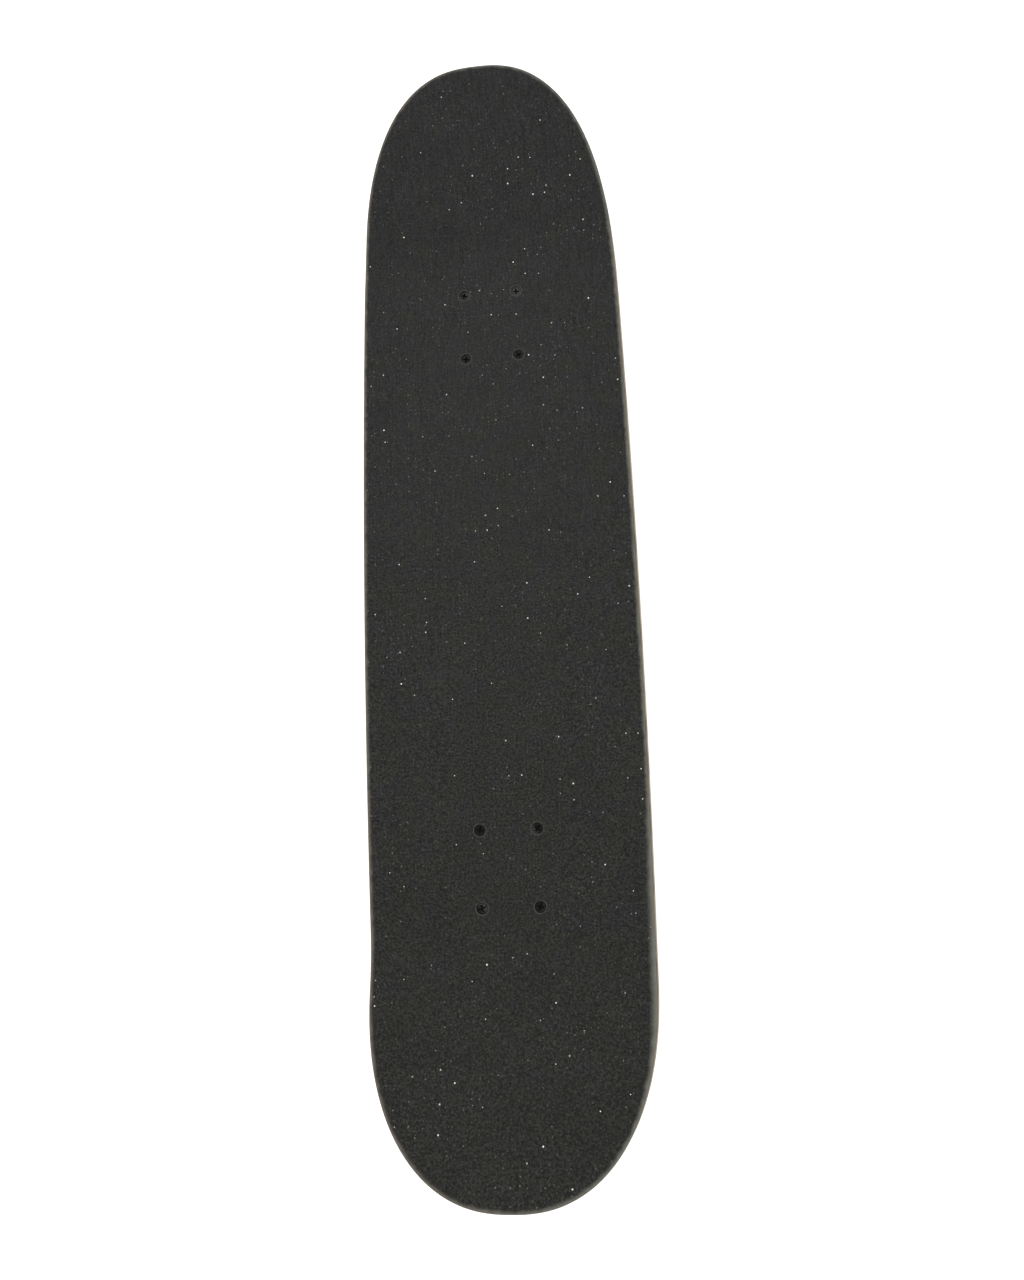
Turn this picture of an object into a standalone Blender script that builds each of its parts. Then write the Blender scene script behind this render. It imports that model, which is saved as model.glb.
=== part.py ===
"""Skateboard: pressed deck, grip sheet, two sprung trucks and four ball-bearing wheels.

World frame: metres, +Z up, the nose at -Y and the tail at +Y, the ground at z = 0.
Left means +X, which is the left hand of someone who looks towards the nose.
Each truck is made in its own frame: its origin is in the middle of the top of its
baseplate, +Y runs to the near end of the board and +Z runs up.
"""

import math

import bmesh
import bpy
from mathutils import Matrix, Vector

# Deck
DECK_LENGTH = 0.8160
DECK_WIDTH = 0.2064
DECK_THICKNESS = 0.0110
DECK_EDGE_RADIUS = 0.0025
NOSE_LENGTH = 0.1794  # from the outer bolts to the nose tip
CONCAVE_RISE = 0.0105
FLAT_STRIP_HALF = 0.0340
CONCAVE_FADE = 0.35  # share of the concave that is gone at the tips
FADE_REACH = 0.1400
KICK_START = 0.2450  # from the middle of the wheelbase
KICK_RADIUS = 0.1100
NOSE_ANGLE = math.radians(22.0)
TAIL_ANGLE = math.radians(20.5)
NOSE_CURVE_START = 0.2800
NOSE_CURVE_POWER = 2.37
TAIL_CURVE_START = 0.2300
TAIL_CURVE_POWER = 2.55
SIDE_BOW = 0.021  # share of the half width that is lost at SIDE_BOW_REACH
SIDE_BOW_REACH = 0.2300
ACROSS = 12  # columns of faces across the deck

# Grip sheet
GRIP_THICKNESS = 0.0008
GRIP_INSET = 0.0020
GRIP_HOLE_MARGIN = 0.0008  # round each bolt head

# Bolt pattern and wheelbase
WHEELBASE = 0.36195  # between the inner bolts of the two trucks
BOLT_ROW = 0.053975
BOLT_PAIR = 0.041275

# Deck bolts and nuts
BOLT_RADIUS = 0.0024
BOLT_HEAD_RADIUS = 0.0044
BOLT_HEAD_RIM = 0.0004
BOLT_HEAD_DEPTH = 0.0027
BOLT_SHOWING = 0.0018  # thread below the nut
CROSS_LENGTH = 0.0046
CROSS_WIDTH = 0.0011
CROSS_DEPTH = 0.0016
DECK_NUT_FLATS = 0.0095
DECK_NUT_HEX = 0.0040
DECK_NUT_COLLAR = 0.0015
DECK_NUT_COLLAR_RADIUS = 0.0042

# Truck
TRUCK_HEIGHT = 0.0535  # baseplate top to axle centre
PLATE_SIDE_MARGIN = 0.0078625  # from a bolt to the side edge
PLATE_END_MARGIN = 0.0120125
PLATE_THICKNESS = 0.0065
PLATE_CORNER = 0.0080
KINGPIN_TILT = math.radians(24.0)
HEAD_SEAT_Y = -0.0050
HEAD_SEAT_DEPTH = 0.0090
KINGPIN_RADIUS = 0.00475
KINGPIN_HEAD_FLATS = 0.0143
KINGPIN_HEAD_HEIGHT = 0.0060
KINGPIN_SHOWING = 0.0029  # thread below the nut
KINGPIN_BOSS_WALL = 0.0044  # round the head pocket
KINGPIN_BOSS_LENGTH = 0.0100
BUSHING_WALL = 0.0066
BUSHING_BORE_GAP = 0.00045
BOARD_WASHER = 0.0020
BOARD_BUSHING = 0.0146
RING_THICKNESS = 0.0050
RING_WALL = 0.0060
RING_HOLE_GAP = 0.00225  # room for the ring to tilt round the kingpin
ROAD_BUSHING = 0.0102
ROAD_BUSHING_TIP_WALL = 0.0046
ROAD_WASHER = 0.0015
BUSHING_WASHER_BAND = 0.0006  # how far a washer reaches past its bushing
KINGPIN_NUT_HEIGHT = 0.0090
PIVOT_PAST_BOLTS = 0.0020  # the pivot lies this far outside the outer bolts
PIVOT_DEPTH = 0.0145
PIVOT_TIP_RADIUS = 0.0060
PIVOT_CUP_WALL = 0.0022
PIVOT_CUP_LIP = 0.0070
PIVOT_CUP_FLOOR = 0.0024
PIVOT_BOSS_WALL = 0.0027
STEM_LENGTH = 0.0160
STEM_ROOT_RADIUS = 0.0083
HANGER_WIDTH = 0.1370
HANGER_MIDDLE_RADIUS = 0.0108
HANGER_END_RADIUS = 0.0076
YOKE_HALF_WIDTH = 0.0420
YOKE_TOP_RADIUS = 0.0085
AXLE_RADIUS = 0.0040
AXLE_OVERHANG = 0.0004  # thread left outside each axle nut

# Wheel and bearings
WHEEL_RADIUS = 0.0260
WHEEL_WIDTH = 0.0320
WHEEL_CONTACT = 0.0210
WHEEL_LIP_DROP = 0.0070  # from the tread in to the lip of the side
WHEEL_RECESS_MARGIN = 0.0045  # round the bearing
BEARING_RADIUS = 0.0110
BEARING_WIDTH = 0.0070
OUTER_RACE_WALL = 0.0018
INNER_RACE_WALL = 0.0019
BEARING_SPACING = 0.0100
SPACER_WALL = 0.0009
CORE_LEDGE = 0.0022  # the step that stops each bearing
SPEED_WASHER = 0.0009
AXLE_NUT_FLATS = 0.0127
AXLE_NUT_HEIGHT = 0.0064

# Clearances
REST_GAP = 0.0003  # between two pieces that rest on each other
BORE_GAP = 0.0003  # round a rod in its hole

# Derived
BOLT_LENGTH = DECK_THICKNESS + PLATE_THICKNESS + 2 * REST_GAP
BOLT_LENGTH += DECK_NUT_HEX + DECK_NUT_COLLAR + BOLT_SHOWING
GRIP_HOLE_RADIUS = BOLT_HEAD_RADIUS + GRIP_HOLE_MARGIN
PLATE_WIDTH = BOLT_PAIR + 2 * PLATE_SIDE_MARGIN
PLATE_LENGTH = BOLT_ROW + 2 * PLATE_END_MARGIN
HALF_BASE = WHEELBASE / 2
TRUCK_OFFSET = HALF_BASE + BOLT_ROW / 2
NOSE_REACH = HALF_BASE + BOLT_ROW + NOSE_LENGTH
TAIL_REACH = DECK_LENGTH - NOSE_REACH
Y_SHIFT = (NOSE_REACH - TAIL_REACH) / 2  # puts the middle of the board at y = 0
PLATE_TOP_Z = WHEEL_RADIUS + TRUCK_HEIGHT
DECK_TOP_Z = PLATE_TOP_Z + REST_GAP + DECK_THICKNESS

KINGPIN_DOWN = Vector((0, -math.sin(KINGPIN_TILT), -math.cos(KINGPIN_TILT)))
HEAD_SEAT = Vector((0, HEAD_SEAT_Y, -HEAD_SEAT_DEPTH))
WASHER_AT = KINGPIN_BOSS_LENGTH + REST_GAP
BUSHING_AT = WASHER_AT + BOARD_WASHER + REST_GAP
RING_AT = BUSHING_AT + BOARD_BUSHING + REST_GAP
ROAD_BUSHING_AT = RING_AT + RING_THICKNESS + REST_GAP
ROAD_WASHER_AT = ROAD_BUSHING_AT + ROAD_BUSHING + REST_GAP
KINGPIN_NUT_AT = ROAD_WASHER_AT + ROAD_WASHER + REST_GAP
KINGPIN_LENGTH = KINGPIN_NUT_AT + KINGPIN_NUT_HEIGHT + KINGPIN_SHOWING
RING_CENTRE = HEAD_SEAT + KINGPIN_DOWN * (RING_AT + RING_THICKNESS / 2)
PIVOT = Vector((0, BOLT_ROW / 2 + PIVOT_PAST_BOLTS, -PIVOT_DEPTH))
STEER_AXIS = (PIVOT - RING_CENTRE).normalized()
AXLE = Vector((0, 0, -TRUCK_HEIGHT))
BUSHING_BORE_RADIUS = KINGPIN_RADIUS + BUSHING_BORE_GAP
BUSHING_RADIUS = BUSHING_BORE_RADIUS + BUSHING_WALL
ROAD_BUSHING_TIP_RADIUS = BUSHING_BORE_RADIUS + ROAD_BUSHING_TIP_WALL
RING_HOLE_RADIUS = KINGPIN_RADIUS + RING_HOLE_GAP
RING_RADIUS = RING_HOLE_RADIUS + RING_WALL
HEAD_POCKET_RADIUS = KINGPIN_HEAD_FLATS / math.sqrt(3) + REST_GAP
KINGPIN_BOSS_RADIUS = HEAD_POCKET_RADIUS + KINGPIN_BOSS_WALL
CUP_BORE_RADIUS = PIVOT_TIP_RADIUS + BORE_GAP
CUP_RADIUS = CUP_BORE_RADIUS + PIVOT_CUP_WALL
CUP_END = CUP_BORE_RADIUS + PIVOT_CUP_FLOOR
BOSS_RADIUS = CUP_RADIUS + REST_GAP + PIVOT_BOSS_WALL
WHEEL_LIP_RADIUS = WHEEL_RADIUS - WHEEL_LIP_DROP
WHEEL_RECESS_RADIUS = BEARING_RADIUS + WHEEL_RECESS_MARGIN
SLEEVE_BORE_RADIUS = AXLE_RADIUS + BORE_GAP
INNER_RACE_RADIUS = SLEEVE_BORE_RADIUS + INNER_RACE_WALL
SPACER_RADIUS = SLEEVE_BORE_RADIUS + SPACER_WALL
CORE_HOLE_RADIUS = BEARING_RADIUS - CORE_LEDGE
CORE_HALF = BEARING_SPACING / 2
BEARING_HALF = CORE_HALF + BEARING_WIDTH
WHEEL_X = HANGER_WIDTH / 2 + SPEED_WASHER + BEARING_HALF
AXLE_NUT_X = WHEEL_X + BEARING_HALF + SPEED_WASHER + REST_GAP
AXLE_HALF = AXLE_NUT_X + AXLE_NUT_HEIGHT + AXLE_OVERHANG

for old in list(bpy.data.objects):
    bpy.data.objects.remove(old, do_unlink=True)

board = bpy.data.collections.new("skateboard")
cutters = bpy.data.collections.new("cutters")
for made in (board, cutters):
    bpy.context.scene.collection.children.link(made)


def material(name, colour, metallic, roughness):
    """A plain Principled material."""
    made = bpy.data.materials.new(name)
    made.use_nodes = True
    shader = made.node_tree.nodes["Principled BSDF"]
    shader.inputs["Base Color"].default_value = (*colour, 1)
    shader.inputs["Metallic"].default_value = metallic
    shader.inputs["Roughness"].default_value = roughness
    return made


MAPLE = material("maple", (0.62, 0.43, 0.25), 0, 0.5)
GRIT = material("grit_sheet", (0.03, 0.03, 0.03), 0, 0.9)
BLACK_STEEL = material("black_steel", (0.03, 0.03, 0.032), 0.8, 0.4)
CAST_ALLOY = material("cast_alloy", (0.55, 0.56, 0.57), 1, 0.35)
BRIGHT_STEEL = material("bright_steel", (0.6, 0.6, 0.6), 1, 0.25)
BEARING_STEEL = material("bearing_steel", (0.66, 0.66, 0.65), 1, 0.2)
SOFT_LINER = material("pivot_liner", (0.04, 0.04, 0.04), 0, 0.5)
BUSHING_RUBBER = material("bushing_urethane", (0.35, 0.02, 0.02), 0, 0.4)
TYRE = material("wheel_urethane", (0.8, 0.78, 0.72), 0, 0.35)


def helper(name, mesh, place=Matrix()):
    """A hidden object in the cutters collection."""
    made = bpy.data.objects.new(name, mesh)
    cutters.objects.link(made)
    made.matrix_world = place
    made.hide_render = True
    made.display_type = "WIRE"
    return made


def along(origin, direction):
    """A frame at origin whose Z runs along direction and whose Y or X stays level."""
    up = Vector(direction).normalized()
    side = Vector((1, 0, 0)) if abs(up.x) < 0.9 else Vector((0, 1, 0))
    side = (side - up * side.dot(up)).normalized()
    turned_frame = Matrix((side, up.cross(side), up)).transposed().to_4x4()
    turned_frame.translation = Vector(origin)
    return turned_frame


def turned(name, profile, segments, bored, place=Matrix()):
    """A body of revolution about Z: profile holds (radius, z) down its outer side."""
    mesh = bpy.data.meshes.new(name)
    edges = [(i, i + 1) for i in range(len(profile) - 1)]
    if bored:
        edges.append((len(profile) - 1, 0))
    mesh.from_pydata([(r, 0, z) for r, z in profile], edges, [])
    made = helper(name, mesh, place)
    screw = made.modifiers.new("Screw", "SCREW")
    screw.steps = screw.render_steps = segments
    screw.use_merge_vertices = True
    screw.merge_threshold = 0.00001
    return made


def rod(name, radius, low, high, sides, place=Matrix(), top_radius=None):
    """A cylinder, cone or prism along Z from low to high."""
    mesh = bpy.data.meshes.new(name)
    shape = bmesh.new()
    bmesh.ops.create_cone(
        shape,
        cap_ends=True,
        segments=sides,
        radius1=radius,
        radius2=radius if top_radius is None else top_radius,
        depth=high - low,
        matrix=Matrix.Translation((0, 0, (low + high) / 2)),
    )
    shape.to_mesh(mesh)
    shape.free()
    return helper(name, mesh, place)


def block(name, size, centre, place=Matrix(), corner=0.0):
    """A box, with its four upright edges rounded when corner is given."""
    mesh = bpy.data.meshes.new(name)
    shape = bmesh.new()
    sized = Matrix.Translation(centre) @ Matrix.Diagonal((*size, 1))
    bmesh.ops.create_cube(shape, size=1, matrix=sized)
    if corner:
        upright = [
            e for e in shape.edges
            if abs(e.verts[0].co.z - e.verts[1].co.z) > size[2] / 2
        ]
        bmesh.ops.bevel(
            shape, geom=upright, offset=corner, segments=3, profile=0.5, affect="EDGES"
        )
    shape.to_mesh(mesh)
    shape.free()
    return helper(name, mesh, place)


def boolean(target, operation, other):
    cut = target.modifiers.new(other.name, "BOOLEAN")
    cut.operation = operation
    cut.solver = "EXACT"
    cut.object = other


def baked(name, target, joins=(), cuts=()):
    """The finished mesh of target with joins added and cuts removed, placed as it stands."""
    for other in joins:
        boolean(target, "UNION", other)
    for other in cuts:
        boolean(target, "DIFFERENCE", other)
    bpy.context.view_layer.update()
    graph = bpy.context.evaluated_depsgraph_get()
    mesh = bpy.data.meshes.new_from_object(target.evaluated_get(graph))
    mesh.transform(target.matrix_world)
    mesh.name = name
    mesh.materials.clear()
    mesh.polygons.foreach_set("use_smooth", [True] * len(mesh.polygons))
    mesh.set_sharp_from_angle(angle=math.radians(35))
    for other in (target, *joins, *cuts):
        bpy.data.objects.remove(other, do_unlink=True)
    return mesh


def piece(name, mesh, look, parent=None, place=Matrix()):
    """A visible named piece of the board."""
    made = bpy.data.objects.new(name, mesh)
    board.objects.link(made)
    made.parent = parent
    made.matrix_local = place
    if not mesh.materials:
        mesh.materials.append(look)
    return made


def empty(name, parent, place):
    made = bpy.data.objects.new(name, None)
    board.objects.link(made)
    made.empty_display_size = 0.02
    made.parent = parent
    made.matrix_local = place
    return made


def hex_radius(flats):
    return flats / math.sqrt(3)


# ---- Deck and grip sheet ----


def edge_reach(tilt):
    """How far the rounded lower edge stands out past the upper one on a tilted rim."""
    straight = (DECK_THICKNESS - DECK_EDGE_RADIUS) * math.sin(tilt)
    return straight + DECK_EDGE_RADIUS * (1 - math.cos(tilt))


RAIL_TILT = math.atan(2 * CONCAVE_RISE / (DECK_WIDTH / 2 - FLAT_STRIP_HALF))
TOP_HALF_WIDTH = DECK_WIDTH / 2 - edge_reach(RAIL_TILT)
NOSE_TOP_REACH = NOSE_REACH - edge_reach(NOSE_ANGLE)
TAIL_TOP_REACH = TAIL_REACH - edge_reach(TAIL_ANGLE)


def kick_height(y):
    """Height of a kick: an arc of KICK_RADIUS and then a straight slope."""
    angle = TAIL_ANGLE if y > 0 else NOSE_ANGLE
    run = max(abs(y) - KICK_START, 0)
    bend = KICK_RADIUS * math.sin(angle)
    if run < bend:
        return KICK_RADIUS - math.sqrt(KICK_RADIUS**2 - run**2)
    return KICK_RADIUS * (1 - math.cos(angle)) + (run - bend) * math.tan(angle)


def top_height(x, y):
    """Height of the deck's top above its flat middle."""
    side = max(abs(x) - FLAT_STRIP_HALF, 0) / (DECK_WIDTH / 2 - FLAT_STRIP_HALF)
    fade = min(max(abs(y) - KICK_START, 0) / FADE_REACH, 1)
    return kick_height(y) + CONCAVE_RISE * (1 - CONCAVE_FADE * fade) * side**2


def end_rows(count, reverse):
    shares = [i / count for i in range(1, count + 1)]
    return shares[::-1] if reverse else shares


MIDDLE_ROWS = 10
middle_from = -KICK_START
middle_to = TAIL_CURVE_START
ROWS = [("nose", share) for share in end_rows(8, True)]
ROWS += [("middle", -NOSE_CURVE_START), ("middle", -(NOSE_CURVE_START + KICK_START) / 2)]
ROWS += [
    ("middle", middle_from + (middle_to - middle_from) * i / MIDDLE_ROWS)
    for i in range(MIDDLE_ROWS + 1)
]
ROWS += [("tail", share) for share in end_rows(11, False)]


def outline_point(across, row, inset):
    """Place on the deck of a grid point: the end rows follow a rounded end."""
    kind, along_row = ROWS[row]
    if kind == "middle":
        x, y = across, along_row
    else:
        nose = kind == "nose"
        power = NOSE_CURVE_POWER if nose else TAIL_CURVE_POWER
        start = NOSE_CURVE_START if nose else TAIL_CURVE_START
        reach = (NOSE_TOP_REACH if nose else TAIL_TOP_REACH) - inset
        px = across * math.sqrt(1 - along_row**2 / 2)
        py = along_row * math.sqrt(1 - across**2 / 2)
        away = math.hypot(px, py)
        square = (abs(px / away) ** power + abs(py / away) ** power) ** (-1 / power)
        grow = 1 + (square - 1) * away**2
        x = px * grow
        y = (start + (reach - start) * py * grow) * (-1 if nose else 1)
    half = TOP_HALF_WIDTH * (1 - SIDE_BOW * (y / SIDE_BOW_REACH) ** 2) - inset
    return x * half, y


def deck_skin(name, inset, lift):
    """The deck's top face as a grid, drawn in by inset and lifted square to itself."""
    mesh = bpy.data.meshes.new(name)
    shape = bmesh.new()
    last = len(ROWS) - 1
    bmesh.ops.create_grid(shape, x_segments=ACROSS, y_segments=last, size=1)
    step = 0.0001
    for vertex in shape.verts:
        row = round((vertex.co.y + 1) / 2 * last)
        x, y = outline_point(vertex.co.x, row, inset)
        z = top_height(x, y)
        slope_x = (top_height(x + step, y) - top_height(x - step, y)) / (2 * step)
        slope_y = (top_height(x, y + step) - top_height(x, y - step)) / (2 * step)
        normal = Vector((-slope_x, -slope_y, 1)).normalized()
        base = Vector((x, y + Y_SHIFT, DECK_TOP_Z + z))
        vertex.co = base + normal * lift
    shape.normal_update()
    if sum(face.normal.z for face in shape.faces) < 0:
        bmesh.ops.reverse_faces(shape, faces=shape.faces[:])
    shape.to_mesh(mesh)
    shape.free()
    return mesh


def bolt_places():
    """(truck, place, x, y) of the eight deck bolts."""
    for truck, side in (("front", -1), ("rear", 1)):
        for row, offset in (("inner", -BOLT_ROW / 2), ("outer", BOLT_ROW / 2)):
            for hand, x in (("left", BOLT_PAIR / 2), ("right", -BOLT_PAIR / 2)):
                y = Y_SHIFT + side * (TRUCK_OFFSET + offset)
                yield truck, f"{row}_{hand}", x, y


def bolt_cutter(name, radius, low, high, top_radius, sides):
    """Eight rods in one mesh, one on each bolt."""
    mesh = bpy.data.meshes.new(name)
    shape = bmesh.new()
    for _, _, x, y in bolt_places():
        bmesh.ops.create_cone(
            shape,
            cap_ends=True,
            segments=sides,
            radius1=radius,
            radius2=top_radius,
            depth=high - low,
            matrix=Matrix.Translation((x, y, (low + high) / 2)),
        )
    shape.to_mesh(mesh)
    shape.free()
    return helper(name, mesh)


def shell(target, thickness, offset):
    solid = target.modifiers.new("Thickness", "SOLIDIFY")
    solid.thickness = thickness
    solid.offset = offset
    solid.use_even_offset = True


HOLE_RADIUS = BOLT_RADIUS + BORE_GAP
BELOW = DECK_TOP_Z - DECK_THICKNESS - 0.01
ABOVE = DECK_TOP_Z + 0.01
sink_slope = (BOLT_HEAD_RADIUS - BOLT_RADIUS) / (BOLT_HEAD_DEPTH - BOLT_HEAD_RIM)
sink_low = DECK_TOP_Z - BOLT_HEAD_DEPTH - REST_GAP
sink_top = HOLE_RADIUS + (ABOVE - sink_low) * sink_slope
cut_holes = bolt_cutter("cut_bolt_holes", HOLE_RADIUS, BELOW, ABOVE, HOLE_RADIUS, 16)
cut_sinks = bolt_cutter("cut_countersinks", HOLE_RADIUS, sink_low, ABOVE, sink_top, 16)
cut_grip = bolt_cutter(
    "cut_grip_holes", GRIP_HOLE_RADIUS, BELOW, ABOVE, GRIP_HOLE_RADIUS, 16
)

deck = piece("deck", deck_skin("deck", 0, 0), MAPLE)
shell(deck, DECK_THICKNESS, -1)
rounding = deck.modifiers.new("Edge", "BEVEL")
rounding.width = DECK_EDGE_RADIUS
rounding.segments = 2
rounding.limit_method = "ANGLE"
rounding.angle_limit = math.radians(55)
boolean(deck, "DIFFERENCE", cut_holes)
boolean(deck, "DIFFERENCE", cut_sinks)

grip = piece("grip_tape", deck_skin("grip_tape", GRIP_INSET, REST_GAP), GRIT)
shell(grip, GRIP_THICKNESS, 1)
boolean(grip, "DIFFERENCE", cut_grip)

# ---- Deck bolts and nuts ----

bolt_body = turned(
    "bolt_body",
    [
        (0, 0),
        (BOLT_HEAD_RADIUS, 0),
        (BOLT_HEAD_RADIUS, -BOLT_HEAD_RIM),
        (BOLT_RADIUS, -BOLT_HEAD_DEPTH),
        (BOLT_RADIUS, -BOLT_LENGTH + 0.0005),
        (BOLT_RADIUS - 0.0005, -BOLT_LENGTH),
        (0, -BOLT_LENGTH),
    ],
    12,
    False,
)
cross_cuts = [
    block("cross_a", (CROSS_LENGTH, CROSS_WIDTH, 2 * CROSS_DEPTH), (0, 0, 0)),
    block("cross_b", (CROSS_WIDTH, CROSS_LENGTH, 2 * CROSS_DEPTH), (0, 0, 0)),
]
bolt_mesh = baked("deck_bolt", bolt_body, cuts=cross_cuts)

nut_top = -PLATE_THICKNESS - REST_GAP
nut_low = nut_top - DECK_NUT_HEX
deck_nut_mesh = baked(
    "deck_nut",
    rod("nut_hex", hex_radius(DECK_NUT_FLATS), nut_low, nut_top, 6),
    joins=[
        rod(
            "nut_collar",
            DECK_NUT_COLLAR_RADIUS,
            nut_low - DECK_NUT_COLLAR,
            nut_low + DECK_NUT_HEX / 2,
            12,
        )
    ],
    cuts=[rod("nut_bore", HOLE_RADIUS, nut_low - 0.01, nut_top + 0.01, 12)],
)

# ---- Truck meshes, in the truck's own frame ----

kingpin_frame = along(HEAD_SEAT, KINGPIN_DOWN)
pivot_frame = along(PIVOT, STEER_AXIS)
axle_frame = along(AXLE, (1, 0, 0))

plate_mesh = baked(
    "baseplate",
    block(
        "plate",
        (PLATE_WIDTH, PLATE_LENGTH, PLATE_THICKNESS),
        (0, 0, -PLATE_THICKNESS / 2),
        corner=PLATE_CORNER,
    ),
    joins=[
        rod(
            "kingpin_boss",
            KINGPIN_BOSS_RADIUS,
            -KINGPIN_HEAD_HEIGHT,
            KINGPIN_BOSS_LENGTH,
            24,
            kingpin_frame,
        ),
        rod(
            "pivot_boss",
            BOSS_RADIUS,
            -PIVOT_CUP_LIP,
            CUP_END + REST_GAP + PIVOT_BOSS_WALL,
            24,
            pivot_frame,
        ),
    ],
    cuts=[
        block("plate_trim", (0.2, 0.2, 0.04), (0, 0, 0.02)),
        rod("head_pocket", HEAD_POCKET_RADIUS, -0.03, 0, 24, kingpin_frame),
        rod("kingpin_hole", KINGPIN_RADIUS + BORE_GAP, -0.01, 0.03, 16, kingpin_frame),
        rod("cup_pocket", CUP_RADIUS + REST_GAP, -0.03, CUP_END + REST_GAP, 20, pivot_frame),
        *[
            rod(
                f"plate_hole_{sx}_{sy}",
                HOLE_RADIUS,
                -0.02,
                0.02,
                12,
                Matrix.Translation((sx * BOLT_PAIR / 2, sy * BOLT_ROW / 2, 0)),
            )
            for sx in (-1, 1)
            for sy in (-1, 1)
        ],
    ],
)

cup_mesh = baked(
    "pivot_cup",
    turned(
        "cup",
        [
            (0, CUP_END),
            (CUP_RADIUS, CUP_END),
            (CUP_RADIUS, -PIVOT_CUP_LIP),
            (CUP_BORE_RADIUS, -PIVOT_CUP_LIP),
            (CUP_BORE_RADIUS, 0),
            (CUP_BORE_RADIUS * math.cos(math.pi / 6), CUP_BORE_RADIUS / 2),
            (CUP_BORE_RADIUS / 2, CUP_BORE_RADIUS * math.cos(math.pi / 6)),
            (0, CUP_BORE_RADIUS),
        ],
        16,
        False,
        pivot_frame,
    ),
)

kingpin_mesh = baked(
    "kingpin",
    rod(
        "pin_head",
        hex_radius(KINGPIN_HEAD_FLATS) - REST_GAP,
        -KINGPIN_HEAD_HEIGHT + 2 * REST_GAP,
        -REST_GAP,
        6,
        kingpin_frame,
    ),
    joins=[rod("pin", KINGPIN_RADIUS, -0.003, KINGPIN_LENGTH, 12, kingpin_frame)],
)
kingpin_nut_mesh = baked(
    "kingpin_nut",
    rod(
        "nut",
        hex_radius(KINGPIN_HEAD_FLATS),
        KINGPIN_NUT_AT,
        KINGPIN_NUT_AT + KINGPIN_NUT_HEIGHT,
        6,
        kingpin_frame,
    ),
    cuts=[rod("nut_hole", KINGPIN_RADIUS + BORE_GAP, 0, 0.1, 12, kingpin_frame)],
)


def stack_ring(name, top_radius, low_radius, start, length, sides, bulge=0.0):
    """A ring on the kingpin, from start to start + length below the head seat."""
    end = start + length
    bore = BUSHING_BORE_RADIUS
    profile = [(low_radius, end), (top_radius, start), (bore, start), (bore, end)]
    if bulge:
        middle = (top_radius + low_radius) / 2 + bulge
        profile.insert(1, (middle, (start + end) / 2))
    return baked(name, turned(name, profile, sides, True, kingpin_frame))


washer_radius = BUSHING_RADIUS + BUSHING_WASHER_BAND
board_washer_mesh = stack_ring(
    "washer_board", washer_radius, washer_radius, WASHER_AT, BOARD_WASHER, 16
)
board_bushing_mesh = stack_ring(
    "bushing_board", BUSHING_RADIUS, BUSHING_RADIUS, BUSHING_AT, BOARD_BUSHING, 20, 0.0005
)
road_bushing_mesh = stack_ring(
    "bushing_road",
    BUSHING_RADIUS,
    ROAD_BUSHING_TIP_RADIUS,
    ROAD_BUSHING_AT,
    ROAD_BUSHING,
    20,
)
road_washer_radius = ROAD_BUSHING_TIP_RADIUS + BUSHING_WASHER_BAND
road_washer_mesh = stack_ring(
    "washer_road", road_washer_radius, road_washer_radius, ROAD_WASHER_AT, ROAD_WASHER, 16
)

# The yoke: at each place along the axle its section is the outline round two circles,
# one on the axle and one up towards the pivot stem, and the second dies away outwards.
STEM_ROOT = PIVOT - STEER_AXIS * STEM_LENGTH
ARM_FOOT = AXLE + (STEM_ROOT - AXLE) * 0.38
YOKE_LIFT = ARM_FOOT - AXLE
YOKE_SIDES = 20


def yoke_section(x):
    """Points of the yoke's section at x, in order round it."""
    share = min(abs(x) / (HANGER_WIDTH / 2), 1)
    near = max(1 - abs(x) / YOKE_HALF_WIDTH, 0)
    fade = near * near * (3 - 2 * near)
    low_radius = HANGER_END_RADIUS + (HANGER_MIDDLE_RADIUS - HANGER_END_RADIUS) * (
        1 - share
    )
    top_radius = low_radius + (YOKE_TOP_RADIUS - low_radius) * fade
    top_centre = AXLE + YOKE_LIFT * fade
    points = []
    for i in range(YOKE_SIDES):
        angle = 2 * math.pi * i / YOKE_SIDES
        outward = Vector((0, math.cos(angle), math.sin(angle)))
        low = AXLE + outward * low_radius
        top = top_centre + outward * top_radius
        best = top if top.dot(outward) > low.dot(outward) else low
        points.append((x, best.y, best.z))
    return points


def lofted(name, sections):
    """A closed solid through equal rings of points, with a flat cap on each end."""
    mesh = bpy.data.meshes.new(name)
    shape = bmesh.new()
    rings = [[shape.verts.new(p) for p in section] for section in sections]
    count = len(rings[0])
    for first, second in zip(rings, rings[1:]):
        for i in range(count):
            j = (i + 1) % count
            shape.faces.new((first[i], second[i], second[j], first[j]))
    shape.faces.new(rings[0])
    shape.faces.new(rings[-1])
    bmesh.ops.recalc_face_normals(shape, faces=shape.faces[:])
    shape.to_mesh(mesh)
    shape.free()
    return helper(name, mesh)


STATIONS = (0, 0.16, 0.32, 0.5, 0.72, 1)
half_hanger = HANGER_WIDTH / 2
inner_stations = [YOKE_HALF_WIDTH * share for share in STATIONS] + [half_hanger]
all_stations = [-x for x in inner_stations[:0:-1]] + inner_stations
yoke = lofted("yoke", [yoke_section(x) for x in all_stations])

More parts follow.
